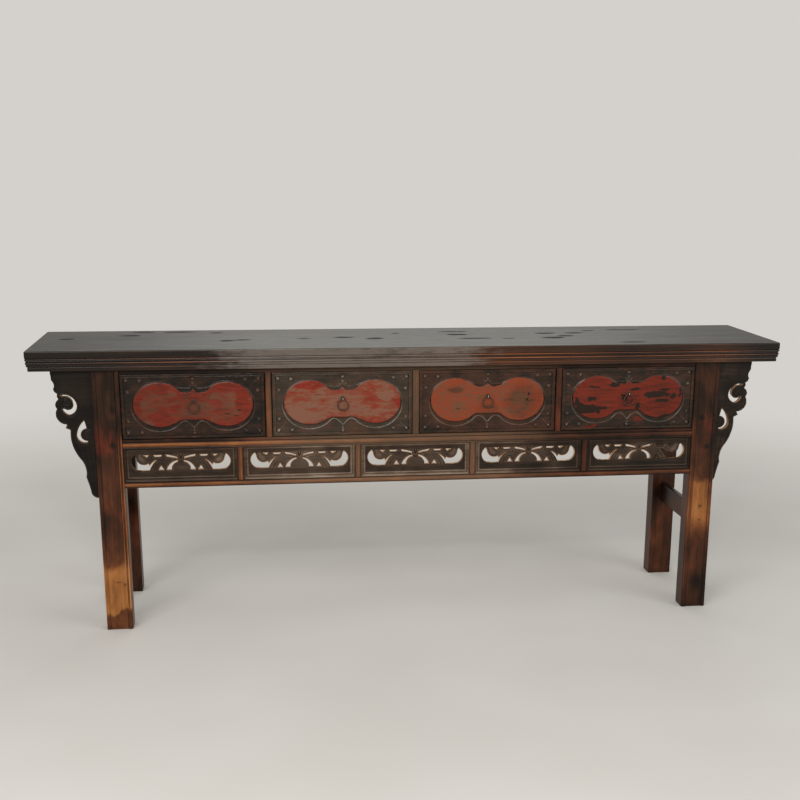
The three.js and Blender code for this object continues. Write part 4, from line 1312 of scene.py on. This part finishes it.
# Each drawer's gourd and wear: how far the waist hangs below the lobes' middle, how worn the field is,
# how far the red has faded, browned and darkened, and places [x, z, half length, half height, strength]
# that are dimmed, faded, scraped or livelier, with the strays of red on the field. The darkening and
# dimming are partly painted shade, strongest on the first and fourth drawers, and the second drawer's
# lighter field and gourd are partly painted sheen.
GOURDS = {
    1: {"sag": 4.0, "field": 0.08, "age": 0.36, "warm": 0.3, "shade": 0.22,
        "dim": [[-118, 6, 80, 84, 0.16], [-10, 0, 66, 60, 0.18], [60, 0, 60, 60, 0.08]],
        "faded": [[-118, 14, 50, 26, 0.12], [0, -8, 64, 26, 0.18], [69, 30, 14, 12, 0.22],
                  [108, 20, 36, 26, 0.18], [117, 42, 15, 10, 0.2], [-150, -52, 40, 10, 0.2]],
        "scraped": [[100, -12, 60, 2.5, 0.34], [58, 0, 24, 2.5, 0.3], [-84, 40, 40, 3, 0.22],
                    [120, -26, 40, 3, 0.3]],
        "lively": [[148, 16, 22, 44, 0.44], [108, 56, 44, 12, 0.36], [-96, -40, 28, 22, 0.34],
                   [-54, -4, 20, 14, 0.24], [-166, 4, 13, 34, 0.3], [-100, 58, 34, 10, 0.26],
                   [120, -46, 40, 14, 0.24]]},
    2: {"sag": 4.0, "field": 0.36, "age": 0.56, "warm": 0.12, "shade": 0.0,
        "dim": [],
        "faded": [[-132, -32, 40, 26, 0.34], [-20, 22, 90, 6, 0.24], [134, 22, 34, 14, 0.32],
                  [112, -24, 70, 7, 0.26], [-40, -6, 50, 22, 0.14]],
        "scraped": [[-40, 26, 92, 2.5, 0.4], [30, 16, 60, 2, 0.3], [-60, 6, 50, 2, 0.26],
                    [130, -8, 40, 2, 0.26]],
        "lively": [[-107, 56, 44, 14, 0.26], [84, 20, 30, 42, 0.16], [160, 0, 14, 40, 0.16],
                   [90, -50, 40, 12, 0.1]]},
    3: {"sag": 0.0, "field": 0.22, "age": 0.38, "warm": 0.68, "shade": 0.06,
        "dim": [[112, -4, 58, 62, 0.26], [-99, 38, 24, 12, 0.34], [164, 0, 16, 50, 0.2],
                [0, -30, 40, 20, 0.14]],
        "faded": [[-99, 37, 18, 11, 0.66], [-98, -13, 22, 15, 0.28], [101, 8, 30, 26, 0.36],
                  [41, 14, 7, 18, 0.34], [89, -26, 36, 13, 0.28], [-50, 14, 60, 20, 0.12]],
        "scraped": [[126, 20, 4.5, 20, 0.42], [-96, -16, 22, 8, 0.2], [104, 30, 26, 3, 0.3],
                    [-99, 36, 14, 7, 0.2]],
        "lively": [[-166, 3, 15, 14, 0.5], [92, 66, 26, 8, 0.4], [158, -3, 13, 32, 0.5],
                   [-33, -17, 15, 9, 0.36], [38, -14, 22, 7, 0.3], [-100, 62, 34, 8, 0.24],
                   [-96, -58, 44, 10, 0.24]]},
    4: {"sag": -2.0, "field": 0.2, "age": 0.06, "warm": 0.34, "shade": 0.34,
        "dim": [[110, 0, 70, 60, 0.08], [10, -10, 40, 40, 0.08]],
        "faded": [[-120, 20, 40, 20, 0.14], [-60, -10, 40, 16, 0.16], [130, 50, 40, 14, 0.14]],
        "scraped": [[94, 11, 46, 11, 1.0], [118, 27, 20, 5, 0.95], [151, 7, 11, 10, 0.8],
                    [112, -8, 24, 7, 0.9], [-142, -31, 40, 18, 1.0], [-88, -30, 24, 6, 0.95],
                    [-168, -10, 12, 14, 0.8], [-117, 1, 14, 8, 0.9], [-110, 39, 21, 5, 0.9],
                    [-50, 45, 17, 8, 1.0], [20, 28, 21, 6, 1.0], [-12, 2, 12, 14, 0.8],
                    [34, -24, 12, 11, 1.0], [115, 71, 8, 12, 1.0], [173, 22, 6, 30, 0.6],
                    [130, -58, 34, 6, 0.6], [-96, -40, 8, 10, 0.6]],
        "lively": [[100, -35, 46, 18, 0.3], [-98, -55, 20, 12, 0.4], [142, -8, 9, 18, 0.4],
                   [-20, -16, 40, 10, 0.2]],
        "strays": [[34, -70, 17, 8], [-118, -90, 20, 4]]},
}

# Bosses of a drawer front as [x, z] from its middle: four corners in threes, and one above and below
BOSSES = np.array([
    [-197, 80], [197, 80], [-157, 78], [157, 78], [-194, 44], [194, 44], [-195, -45], [195, -45],
    [-156, -80], [156, -80], [-197, -80], [197, -80], [0, 83], [0, -84],
])

# Plain small knobs beside the gourd's cusp and under its waist, as x, z and radius
KNOBS = ((0, 68, 4.4), (-9, 61, 2.8), (9, 61, 2.8), (0, -76, 3.4))


def gourd_outline(sag, count=180):
    """Closed gourd: two round lobes and a waist, with a small cusp above the middle.

    Half height at x is the lobe's ellipse beyond the waist's reach, and inside it the waist's half
    height plus a power of x. The waist hangs by the sag, and the cusp adds 13 (1 - |x| / 14) ** 1.8.
    """
    half_length, lobe_x, lobe_reach, lobe_half = 179.9, 101, 79, 69
    waist_reach, waist_half, middle_z = 45, 42, 5
    x = -half_length * np.cos(np.linspace(0, np.pi, count))
    away = np.abs(x)
    lobe = lobe_half * half_ellipse((away - lobe_x) / lobe_reach)
    edge = lobe_half * half_ellipse((lobe_x - waist_reach) / lobe_reach)
    waist = waist_half + (edge - waist_half) * np.clip(away / waist_reach, 0, 1) ** 5.6
    half = np.where(away >= waist_reach, lobe, waist)
    drop = sag * smooth(62, 34, away)
    cusp = 13 * np.clip(1 - away / 14, 0, 1) ** 1.8
    upper = np.stack([x, middle_z + half + cusp - drop], 1)
    lower = np.stack([x, middle_z - half - drop - 2.5 * hump(x, 0, 34)], 1)[::-1]
    return np.concatenate([upper, lower[1:-1]])


def bead_outline(count=220):
    """Closed bead line round the gourd: wider lobes set lower, an upper cusp and a lower ogee point.

    A lobe is an ellipse. Inside the waist's reach the upper line is a power of x under a cusp, and the
    lower one falls to its point by a quarter sine between two powers of x.
    """
    half_length, lobe_x, lobe_reach, lobe_half = 184, 101, 83, 76
    waist_reach, upper_waist, lower_waist, ogee_reach, lobe_drop = 47, 53, 46, 28, 2
    x = -half_length * np.cos(np.linspace(0, np.pi, count))
    away = np.abs(x)
    lobe = lobe_half * half_ellipse((away - lobe_x) / lobe_reach)
    edge = lobe_half * half_ellipse((lobe_x - waist_reach) / lobe_reach)
    rise = edge - lobe_drop - upper_waist
    upper = np.where(away >= waist_reach, lobe - lobe_drop,
                     upper_waist + rise * np.clip(away / waist_reach, 0, 1) ** 5)
    upper = upper + 11 * np.clip(1 - away / 15, 0, 1) ** 2
    point = 22 * (1 - np.sin(np.pi / 2 * np.clip(away / ogee_reach, 0, 1)))
    shoulder = np.clip((away - ogee_reach) / (waist_reach - ogee_reach), 0, 1) ** 1.6
    ogee = -lower_waist - np.where(away < ogee_reach, point, (edge + lobe_drop - lower_waist) * shoulder)
    lower = np.where(away >= waist_reach, -lobe - lobe_drop, ogee)
    return np.concatenate([np.stack([x, upper], 1), np.stack([x, lower], 1)[::-1][1:-1]])


def patches_at(x, z, rows, seed):
    """Highest strength of scattered soft patches at each point, their edges shaken by drift."""
    total = np.zeros_like(x)
    shake_x = 8 * drift(x * 0.5, z, 46, seed) + 3 * drift(x * 0.6, z, 14, seed + 2)
    shake_z = 4 * drift(x * 0.5, z, 34, seed + 1) + 2 * drift(x * 0.6, z, 12, seed + 3)
    for middle_x, middle_z, reach_x, reach_z, strength in rows:
        far = np.hypot((x + shake_x - middle_x) / reach_x, (z + shake_z - middle_z) / reach_z)
        total = np.maximum(total, strength * smooth(1.25, 0.55, far))
    return total


def front_bosses(x, z, radius):
    """Height of the bosses and knobs from 0 to 1, each a half ellipse, and the groove round each boss.

    A boss has five petals: its radius swings by 14 percent five times in a turn.
    """
    knob = np.zeros_like(x)
    ring = np.zeros_like(x)
    for boss_x, boss_z in BOSSES:
        far = np.hypot(x - boss_x, z - boss_z)
        petals = radius * (0.86 + 0.14 * np.cos(5 * np.arctan2(z - boss_z, x - boss_x)))
        knob = np.maximum(knob, half_ellipse(far / petals))
        ring = np.maximum(ring, hump(far, radius + 1.6, 1.4))
    for knob_x, knob_z, knob_radius in KNOBS:
        knob = np.maximum(knob, half_ellipse(np.hypot(x - knob_x, (z - knob_z) * 0.8) / knob_radius))
    return knob, ring


def make_front(number):
    """A drawer front: raised border with an inner bead, gourd panel, bead line and carved bosses.

    Relief in millimetres above the field. The border is a flat with a half-round bead inside it. The
    gourd rises as a quarter circle and swells towards its middle. A line or boss is a half ellipse of
    its distance.
    """
    node = f"drawer_{number}_front"
    low, high = box_of(node)
    size = sizes()
    look = GOURDS[number]
    step, border, rise, swell = (size[key] for key in
                                 ("carving_grid", "front_border", "front_relief", "gourd_rise"))
    u, v = np.meshgrid(spaced(low[0], high[0], step), spaced(low[2], high[2], step))
    x, z = u - (low[0] + high[0]) / 2, v - (low[2] + high[2]) / 2
    from_end, from_side = (high[0] - low[0]) / 2 - np.abs(x), (high[2] - low[2]) / 2 - np.abs(z)
    edge = np.minimum(from_end, from_side)
    # border with its bead and mitred corners
    in_border = edge < border
    inner = border - 3.4
    flat = (edge < inner) * rise * dome(edge + 0.6, 1.8)
    bead = half_ellipse((edge - border + 1.6) / 2.0) * (rise + 0.2)
    groove = hump(edge, inner, 0.7) * in_border
    mitre = hump(from_end - from_side, 0, 0.8) * in_border
    relief = np.maximum(flat, bead) - 1.2 * groove - 0.5 * mitre
    # gourd panel and the bead line round it
    wander = 0.8 * drift(x, z, 90, 100 + number)
    gourd = inside_distance(x + 0.5 * wander, z + 0.5 * wander, gourd_outline(look["sag"]))[0]
    line = inside_distance(x + wander, z, bead_outline())[0]
    panel = swell * (0.82 * dome(gourd, 3.2) + 0.18 * smooth(0, 40, gourd))
    half_bead = size["gourd_bead"] / 2
    cord = half_ellipse(line / half_bead)
    relief = np.maximum(relief, np.where(gourd > 0, panel, 0))
    relief = np.maximum(relief, np.where(gourd < 1.0, 2.1 * cord, 0))
    beside = hump(np.abs(line), half_bead + 0.8, 0.9) * (gourd < 0)
    foot = hump(gourd, -1.2, 1.2)
    relief = relief - 0.5 * beside - 0.6 * foot * (cord < 0.05)
    # diagonal strokes from the bead line to the corners
    ends = smooth(32, 26, np.maximum(from_end, from_side) - border)
    diagonal = hump(from_end - from_side, 0, 1.5) * ends * (edge > border) * (gourd < -4) * (line < -3)
    knob, ring = front_bosses(x, z, size["boss_radius"])
    relief = np.maximum(relief + 1.2 * diagonal, 3.2 * knob) - 0.5 * ring * (knob < 0.01)
    relief = relief + 0.22 * drift(x, z, 55, 110 + number) * smooth(1, 6, edge)
    # paint and wear
    red = smooth(-0.3, 1.0, gourd - 1.2 + 0.9 * drift(x, z, 22, 115 + number))
    for stray in look.get("strays", []):
        red = np.maximum(red, 0.75 * patches_at(x, z, [stray + [1.0]], 140))
    raised = np.maximum(cord * (gourd < 1), 0.6 * diagonal)
    lower = (0.3 + 0.7 * smooth(20, -30, z)) * (0.8 + 0.2 * drift(x, z, 70, 118 + number))
    wear = (look["field"] + 0.42 * raised * lower + (0.29 + 0.1 * drift(x, z, 50, 119)) * knob
            + 0.10 * np.clip(bead / rise, 0, 1) * (edge > inner) + 0.02 * (edge < inner))
    grime = 0.9 * groove + 0.5 * beside + 0.75 * foot * (1 - cord) + 0.6 * mitre + 0.7 * ring
    age = (look["age"] + patches_at(x, z, look["faded"], 120 + number)
           - patches_at(x, z, look["lively"], 124 + number) - 0.12 * hump(gourd, 3, 5))
    # shade: partly a darker red, partly painted shade, more over the dim places
    shade = look["shade"] + patches_at(x, z, look["dim"], 150 + number)
    scrape = patches_at(x, z, look["scraped"], 130 + number)
    no_triangles = np.zeros((0, 3), int)
    points, faces, used = relief_board(u, v, low[1] + rise - relief, high[1], grid_faces(*u.shape),
                                       no_triangles)
    values = board_values(used, {
        "wear": (wear, 0.2), "grime": (np.clip(grime, 0, 1) * (1 - knob), 0.0), "red": (red, 0.0),
        "age": (age, 0.3), "scrape": (scrape, 0.0), "warm": (np.full_like(x, look["warm"]), 0.1),
        "shade": (shade, 0.2)})
    make_piece(f"drawer_{number}_carved_front", points, faces, "front_finish", f"drawer_{number}", [node],
               values, crease=60)


# Drop pulls

def make_eye(number):
    """A small dished plate turned about its axis, and the wire loop of the eye in front of it."""
    node = f"drawer_{number}_pull_eye"
    low, high = box_of(node)
    middle_x, middle_z = (low[0] + high[0]) / 2, (low[2] + high[2]) / 2
    plate_radius = (high[0] - low[0]) / 2
    # plate as [radius short of the rim, height], from the back to the front
    dish = np.array([[0, 0], [-0.6, 0], [0, 0.4], [0, 1.0], [-0.7, 1.7], [-1.8, 2.0], [-3.0, 1.7],
                     [-4.6, 2.2], [0, 2.4]])
    dish[1:-1, 0] += plate_radius
    points, quads, triangles = turned(dish)
    plate = np.stack([middle_x + points[:, 0], high[1] - points[:, 2], middle_z + points[:, 1]], 1)
    loop_radius, loop_wire, loop_count = 4.3, 1.3, 36
    ring_low, ring_high = box_of(f"drawer_{number}_pull_ring")
    eye_y = (ring_low[1] + ring_high[1]) / 2
    turn = 2 * np.pi * np.arange(loop_count) / loop_count
    loop = np.stack([np.full(loop_count, middle_x), eye_y + loop_radius * np.sin(turn),
                     middle_z + loop_radius * np.cos(turn)], 1)
    loop_points, loop_quads = closed_wire(loop, loop_wire, 12)
    points, faces = join_shells([(plate, [quads, triangles]), (loop_points, [loop_quads])])
    # rub on the front of the eye's loop: rubbed metal and a painted glint, strongest on the third drawer
    rub_and_glint_strength = (0.3, 0.8, 1.0, 0.7)[number - 1]
    rub = smooth(eye_y - 3.4, eye_y - 5.2, points[:, 1]) * rub_and_glint_strength
    make_piece(f"pull_{number}_eye", points, faces, "iron_finish", f"drawer_{number}", [node], {"rub": rub})


def make_ring(number):
    """The pear-shaped ring that hangs through the eye.

    Its middle line is x = w sin t (1 - 0.34 cos t), z = -d (1 - cos t) / 2, with the wire a little
    thicker at its foot.
    """
    node = f"drawer_{number}_pull_ring"
    low, high = box_of(node)
    wire, count, pear = sizes()["ring_wire"], 84, 0.34
    middle_x = np.mean([corner[0] for corner in box_of(f"drawer_{number}_pull_eye")])
    turn = 2 * np.pi * np.arange(count) / count
    fall = (1 - np.cos(turn)) / 2
    lean = np.sin(turn) * (1 - pear * np.cos(turn))
    half = ((high[0] - low[0]) / 2 - wire) / np.max(lean)
    drop = high[2] - low[2] - 2 * wire
    path = np.stack([middle_x + half * lean, np.full(count, (low[1] + high[1]) / 2),
                     high[2] - wire - drop * fall], 1)
    points, quads = closed_wire(path, wire * (0.88 + 0.12 * fall))
    make_piece(f"pull_{number}_ring", points, [quads], "iron_finish", f"pull_{number}", [node],
               {"rub": np.zeros(len(points))})


# Camera, floor and lamps

CAMERA = {"place": (-0.485886, -4.054049, 1.415347), "yaw": -0.13774, "pitch": 0.2749, "roll": 0.00712,
          "lens": 57.006, "shift": (-0.0375, 0.1520)}

# Lamps as name, place, target, width, height, power and tint
LAMPS = (
    ("key_lamp", (-2.2, -3.8, 3.0), (-0.1, 0, 0.6), 2.4, 1.8, 98, (1.0, 0.97, 0.94)),
    ("fill_lamp", (3.0, -3.0, 2.0), (0.2, 0, 0.5), 2.4, 2.0, 45, (0.96, 0.98, 1.0)),
    ("front_lamp", (-0.5, -3.9, 2.6), (-0.45, 0, 0.8), 0.34, 0.26, 32, (1.0, 0.98, 0.95)),
    ("rear_lamp", (0.4, 3.2, 2.8), (0, 0, 0.8), 3.0, 1.6, 25, (1.0, 1.0, 1.0)),
)


def place_in_scene(name, data, place, right, up, ahead):
    """A lamp or camera at a place, looking ahead."""
    made = bpy.data.objects.new(name, data)
    axes = np.eye(4)
    axes[:3] = np.stack([right, up, -ahead, place], axis=1)
    made.matrix_world = Matrix(axes.tolist())
    bpy.context.scene.collection.objects.link(made)
    return made


def make_camera():
    """Camera that looks along (-sin yaw cos pitch, cos yaw cos pitch, -sin pitch), then rolled."""
    yaw, pitch, roll = CAMERA["yaw"], CAMERA["pitch"], CAMERA["roll"]
    ahead = np.array([-np.sin(yaw) * np.cos(pitch), np.cos(yaw) * np.cos(pitch), -np.sin(pitch)])
    right = np.array([np.cos(yaw), np.sin(yaw), 0])
    up = np.cross(right, ahead)
    data = bpy.data.cameras.new("camera")
    data.lens = CAMERA["lens"]
    data.sensor_width = 36.0
    data.sensor_fit = "AUTO"
    data.shift_x, data.shift_y = CAMERA["shift"]
    data.clip_end = 100
    bpy.context.scene.camera = place_in_scene(
        "camera", data, CAMERA["place"], right * np.cos(roll) + up * np.sin(roll),
        up * np.cos(roll) - right * np.sin(roll), ahead)


def make_lamp(name, place, target, width, height, power, tint):
    """A rectangular lamp that faces its target. Lamps of this size give soft shadows."""
    data = bpy.data.lights.new(name, "AREA")
    data.shape = "RECTANGLE"
    data.size, data.size_y = width, height
    data.energy = power
    data.color = tint
    ahead = np.array(target, float) - np.array(place, float)
    ahead /= np.linalg.norm(ahead)
    right = np.cross(ahead, [0, 0, 1])
    right /= np.linalg.norm(right)
    place_in_scene(name, data, place, right, np.cross(right, ahead), ahead)


def floor_material():
    """Pale matt floor that turns into the light surroundings away from the table."""
    f = Finish("pale_floor")
    tint = tones()
    cloud = f.noise(1.2, detail=2.0)
    colour = f.coat(tint["floor"], tone(212, 209, 204), cloud, 0.3, 0.7)
    f.finish(colour, f.sums((0.1, cloud), 0.75), cloud, bump=0.02, reach=0.001, specular=0.2)
    away = add_node(f.tree, "VectorMath", {0: f.place}, operation="LENGTH").outputs["Value"]
    room = add_node(f.tree, "Emission", {"Color": tint["surroundings"], "Strength": 1.0})
    far = f.step(away, 1.6, 4.2)
    blend = add_node(f.tree, "MixShader", {0: far, 1: f.shader.outputs[0], 2: room.outputs[0]})
    f.tree.links.new(blend.outputs[0], f.tree.nodes["Material Output"].inputs["Surface"])
    return f.material


def make_floor():
    """A flat floor just under the feet, far wider than the table."""
    across = np.linspace(-14, 14, 29)
    x, y = np.meshgrid(across, across)
    points = np.stack([x.ravel(), y.ravel(), np.full(x.size, -0.5 / METRE)], 1)
    mesh = bpy.data.meshes.new("floor")
    mesh.from_pydata(points.tolist(), [], grid_faces(*x.shape).tolist())
    mesh.materials.append(floor_material())
    floor = bpy.data.objects.new("floor", mesh)
    bpy.context.scene.collection.objects.link(floor)


def make_surroundings():
    """Soft light from all round, and a pale room where a camera, glossy or transmitted ray meets it."""
    world = bpy.data.worlds.new("studio")
    bpy.context.scene.world = world
    world.use_nodes = True
    tree = world.node_tree
    light = tree.nodes["Background"]
    light.inputs["Color"].default_value = (1.0, 0.99, 0.97, 1)
    light.inputs["Strength"].default_value = 0.5
    shown = add_node(tree, "Background", {"Color": tones()["surroundings"], "Strength": 1.0})
    path = add_node(tree, "LightPath")
    seen = path.outputs["Is Camera Ray"]
    for kind in ("Is Glossy Ray", "Is Transmission Ray"):
        seen = add_node(tree, "Math", {0: seen, 1: path.outputs[kind]}, operation="MAXIMUM").outputs[0]
    blend = add_node(tree, "MixShader", {0: seen, 1: light.outputs[0], 2: shown.outputs[0]})
    tree.links.new(blend.outputs[0], tree.nodes["World Output"].inputs["Surface"])


def make_stage():
    """Floor, background light, lamps and camera."""
    bpy.context.scene.view_settings.view_transform = "Standard"
    make_floor()
    make_surroundings()
    for lamp in LAMPS:
        make_lamp(*lamp)
    make_camera()


# Operators

class BuildTop(bpy.types.Operator):
    """Top board with its moulded edge and scarred upper face"""
    bl_idname = "altar_table.build_top"
    bl_label = "Top board"

    def execute(self, context):
        make_top()
        return {"FINISHED"}


class BuildLegs(bpy.types.Operator):
    """Four legs with a bead on each edge of the outer face"""
    bl_idname = "altar_table.build_legs"
    bl_label = "Legs"

    def execute(self, context):
        for face_name in ("front", "back"):
            for side_name in SIDES:
                make_leg(face_name, side_name)
        return {"FINISHED"}


class BuildRails(bpy.types.Operator):
    """Upper, middle and bottom front rails"""
    bl_idname = "altar_table.build_rails"
    bl_label = "Front rails"

    def execute(self, context):
        make_rails()
        return {"FINISHED"}


class BuildUprights(bpy.types.Operator):
    """Posts between the drawers and mullions between the frieze boards"""
    bl_idname = "altar_table.build_uprights"
    bl_label = "Posts and mullions"

    def execute(self, context):
        for upright in UPRIGHTS:
            make_upright(*upright)
        return {"FINISHED"}


class BuildFriezes(bpy.types.Operator):
    """Five pierced frieze boards"""
    bl_idname = "altar_table.build_friezes"
    bl_label = "Frieze boards"

    def execute(self, context):
        for number in PANELS:
            make_frieze(number)
        return {"FINISHED"}


class BuildSpandrels(bpy.types.Operator):
    """Carved spandrels beside the front legs"""
    bl_idname = "altar_table.build_spandrels"
    bl_label = "Spandrels"

    def execute(self, context):
        for side_name in SIDES:
            make_spandrel(side_name)
        return {"FINISHED"}


class BuildFronts(bpy.types.Operator):
    """Drawer fronts with their red gourd panels"""
    bl_idname = "altar_table.build_fronts"
    bl_label = "Drawer fronts"

    def execute(self, context):
        for number in DRAWERS:
            make_front(number)
        return {"FINISHED"}


class BuildPulls(bpy.types.Operator):
    """Iron eyes and rings of the drawer pulls"""
    bl_idname = "altar_table.build_pulls"
    bl_label = "Drop pulls"

    def execute(self, context):
        for number in DRAWERS:
            make_eye(number)
            make_ring(number)
        return {"FINISHED"}


class BuildCarcaseBoards(bpy.types.Operator):
    """Side boards, stretchers and back rail, lacquered; back board, floor, guides and drawer boxes plain"""
    bl_idname = "altar_table.build_carcase_boards"
    bl_label = "Inner boards"

    def execute(self, context):
        make_carcase_boards()
        for number in DRAWERS:
            make_drawer_box(number)
        return {"FINISHED"}


class BuildStage(bpy.types.Operator):
    """Pale floor, soft lamps and the camera"""
    bl_idname = "altar_table.build_stage"
    bl_label = "Stage"

    def execute(self, context):
        make_stage()
        return {"FINISHED"}


class AltarTablePanel(bpy.types.Panel):
    """Settings and steps of the table"""
    bl_idname = "VIEW3D_PT_altar_table"
    bl_label = "Altar table"
    bl_space_type = "VIEW_3D"
    bl_region_type = "UI"
    bl_category = "Altar table"

    def draw(self, context):
        """Lists the settings and one button for each step."""
        layout = self.layout
        for group in (context.scene.altar_table_sizes, context.scene.altar_table_tones):
            for key in type(group).__annotations__:
                layout.prop(group, key)
        for step in STEPS:
            layout.operator(step.bl_idname)


STEPS = (BuildTop, BuildLegs, BuildRails, BuildUprights, BuildFriezes, BuildSpandrels, BuildFronts,
         BuildPulls, BuildCarcaseBoards, BuildStage)
CLASSES = (AltarTableSizes, AltarTableTones) + STEPS + (AltarTablePanel,)


def register():
    """Registers the settings, steps and panel."""
    for item in CLASSES:
        bpy.utils.register_class(item)
    bpy.types.Scene.altar_table_sizes = PointerProperty(type=AltarTableSizes)
    bpy.types.Scene.altar_table_tones = PointerProperty(type=AltarTableTones)


def unregister():
    """Takes the settings, steps and panel away again."""
    del bpy.types.Scene.altar_table_tones
    del bpy.types.Scene.altar_table_sizes
    for item in reversed(CLASSES):
        bpy.utils.unregister_class(item)


def main():
    """Registers the add-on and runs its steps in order."""
    register()
    for step in STEPS:
        group, name = step.bl_idname.split(".")
        getattr(getattr(bpy.ops, group), name)()


if __name__ == "__main__":
    main()
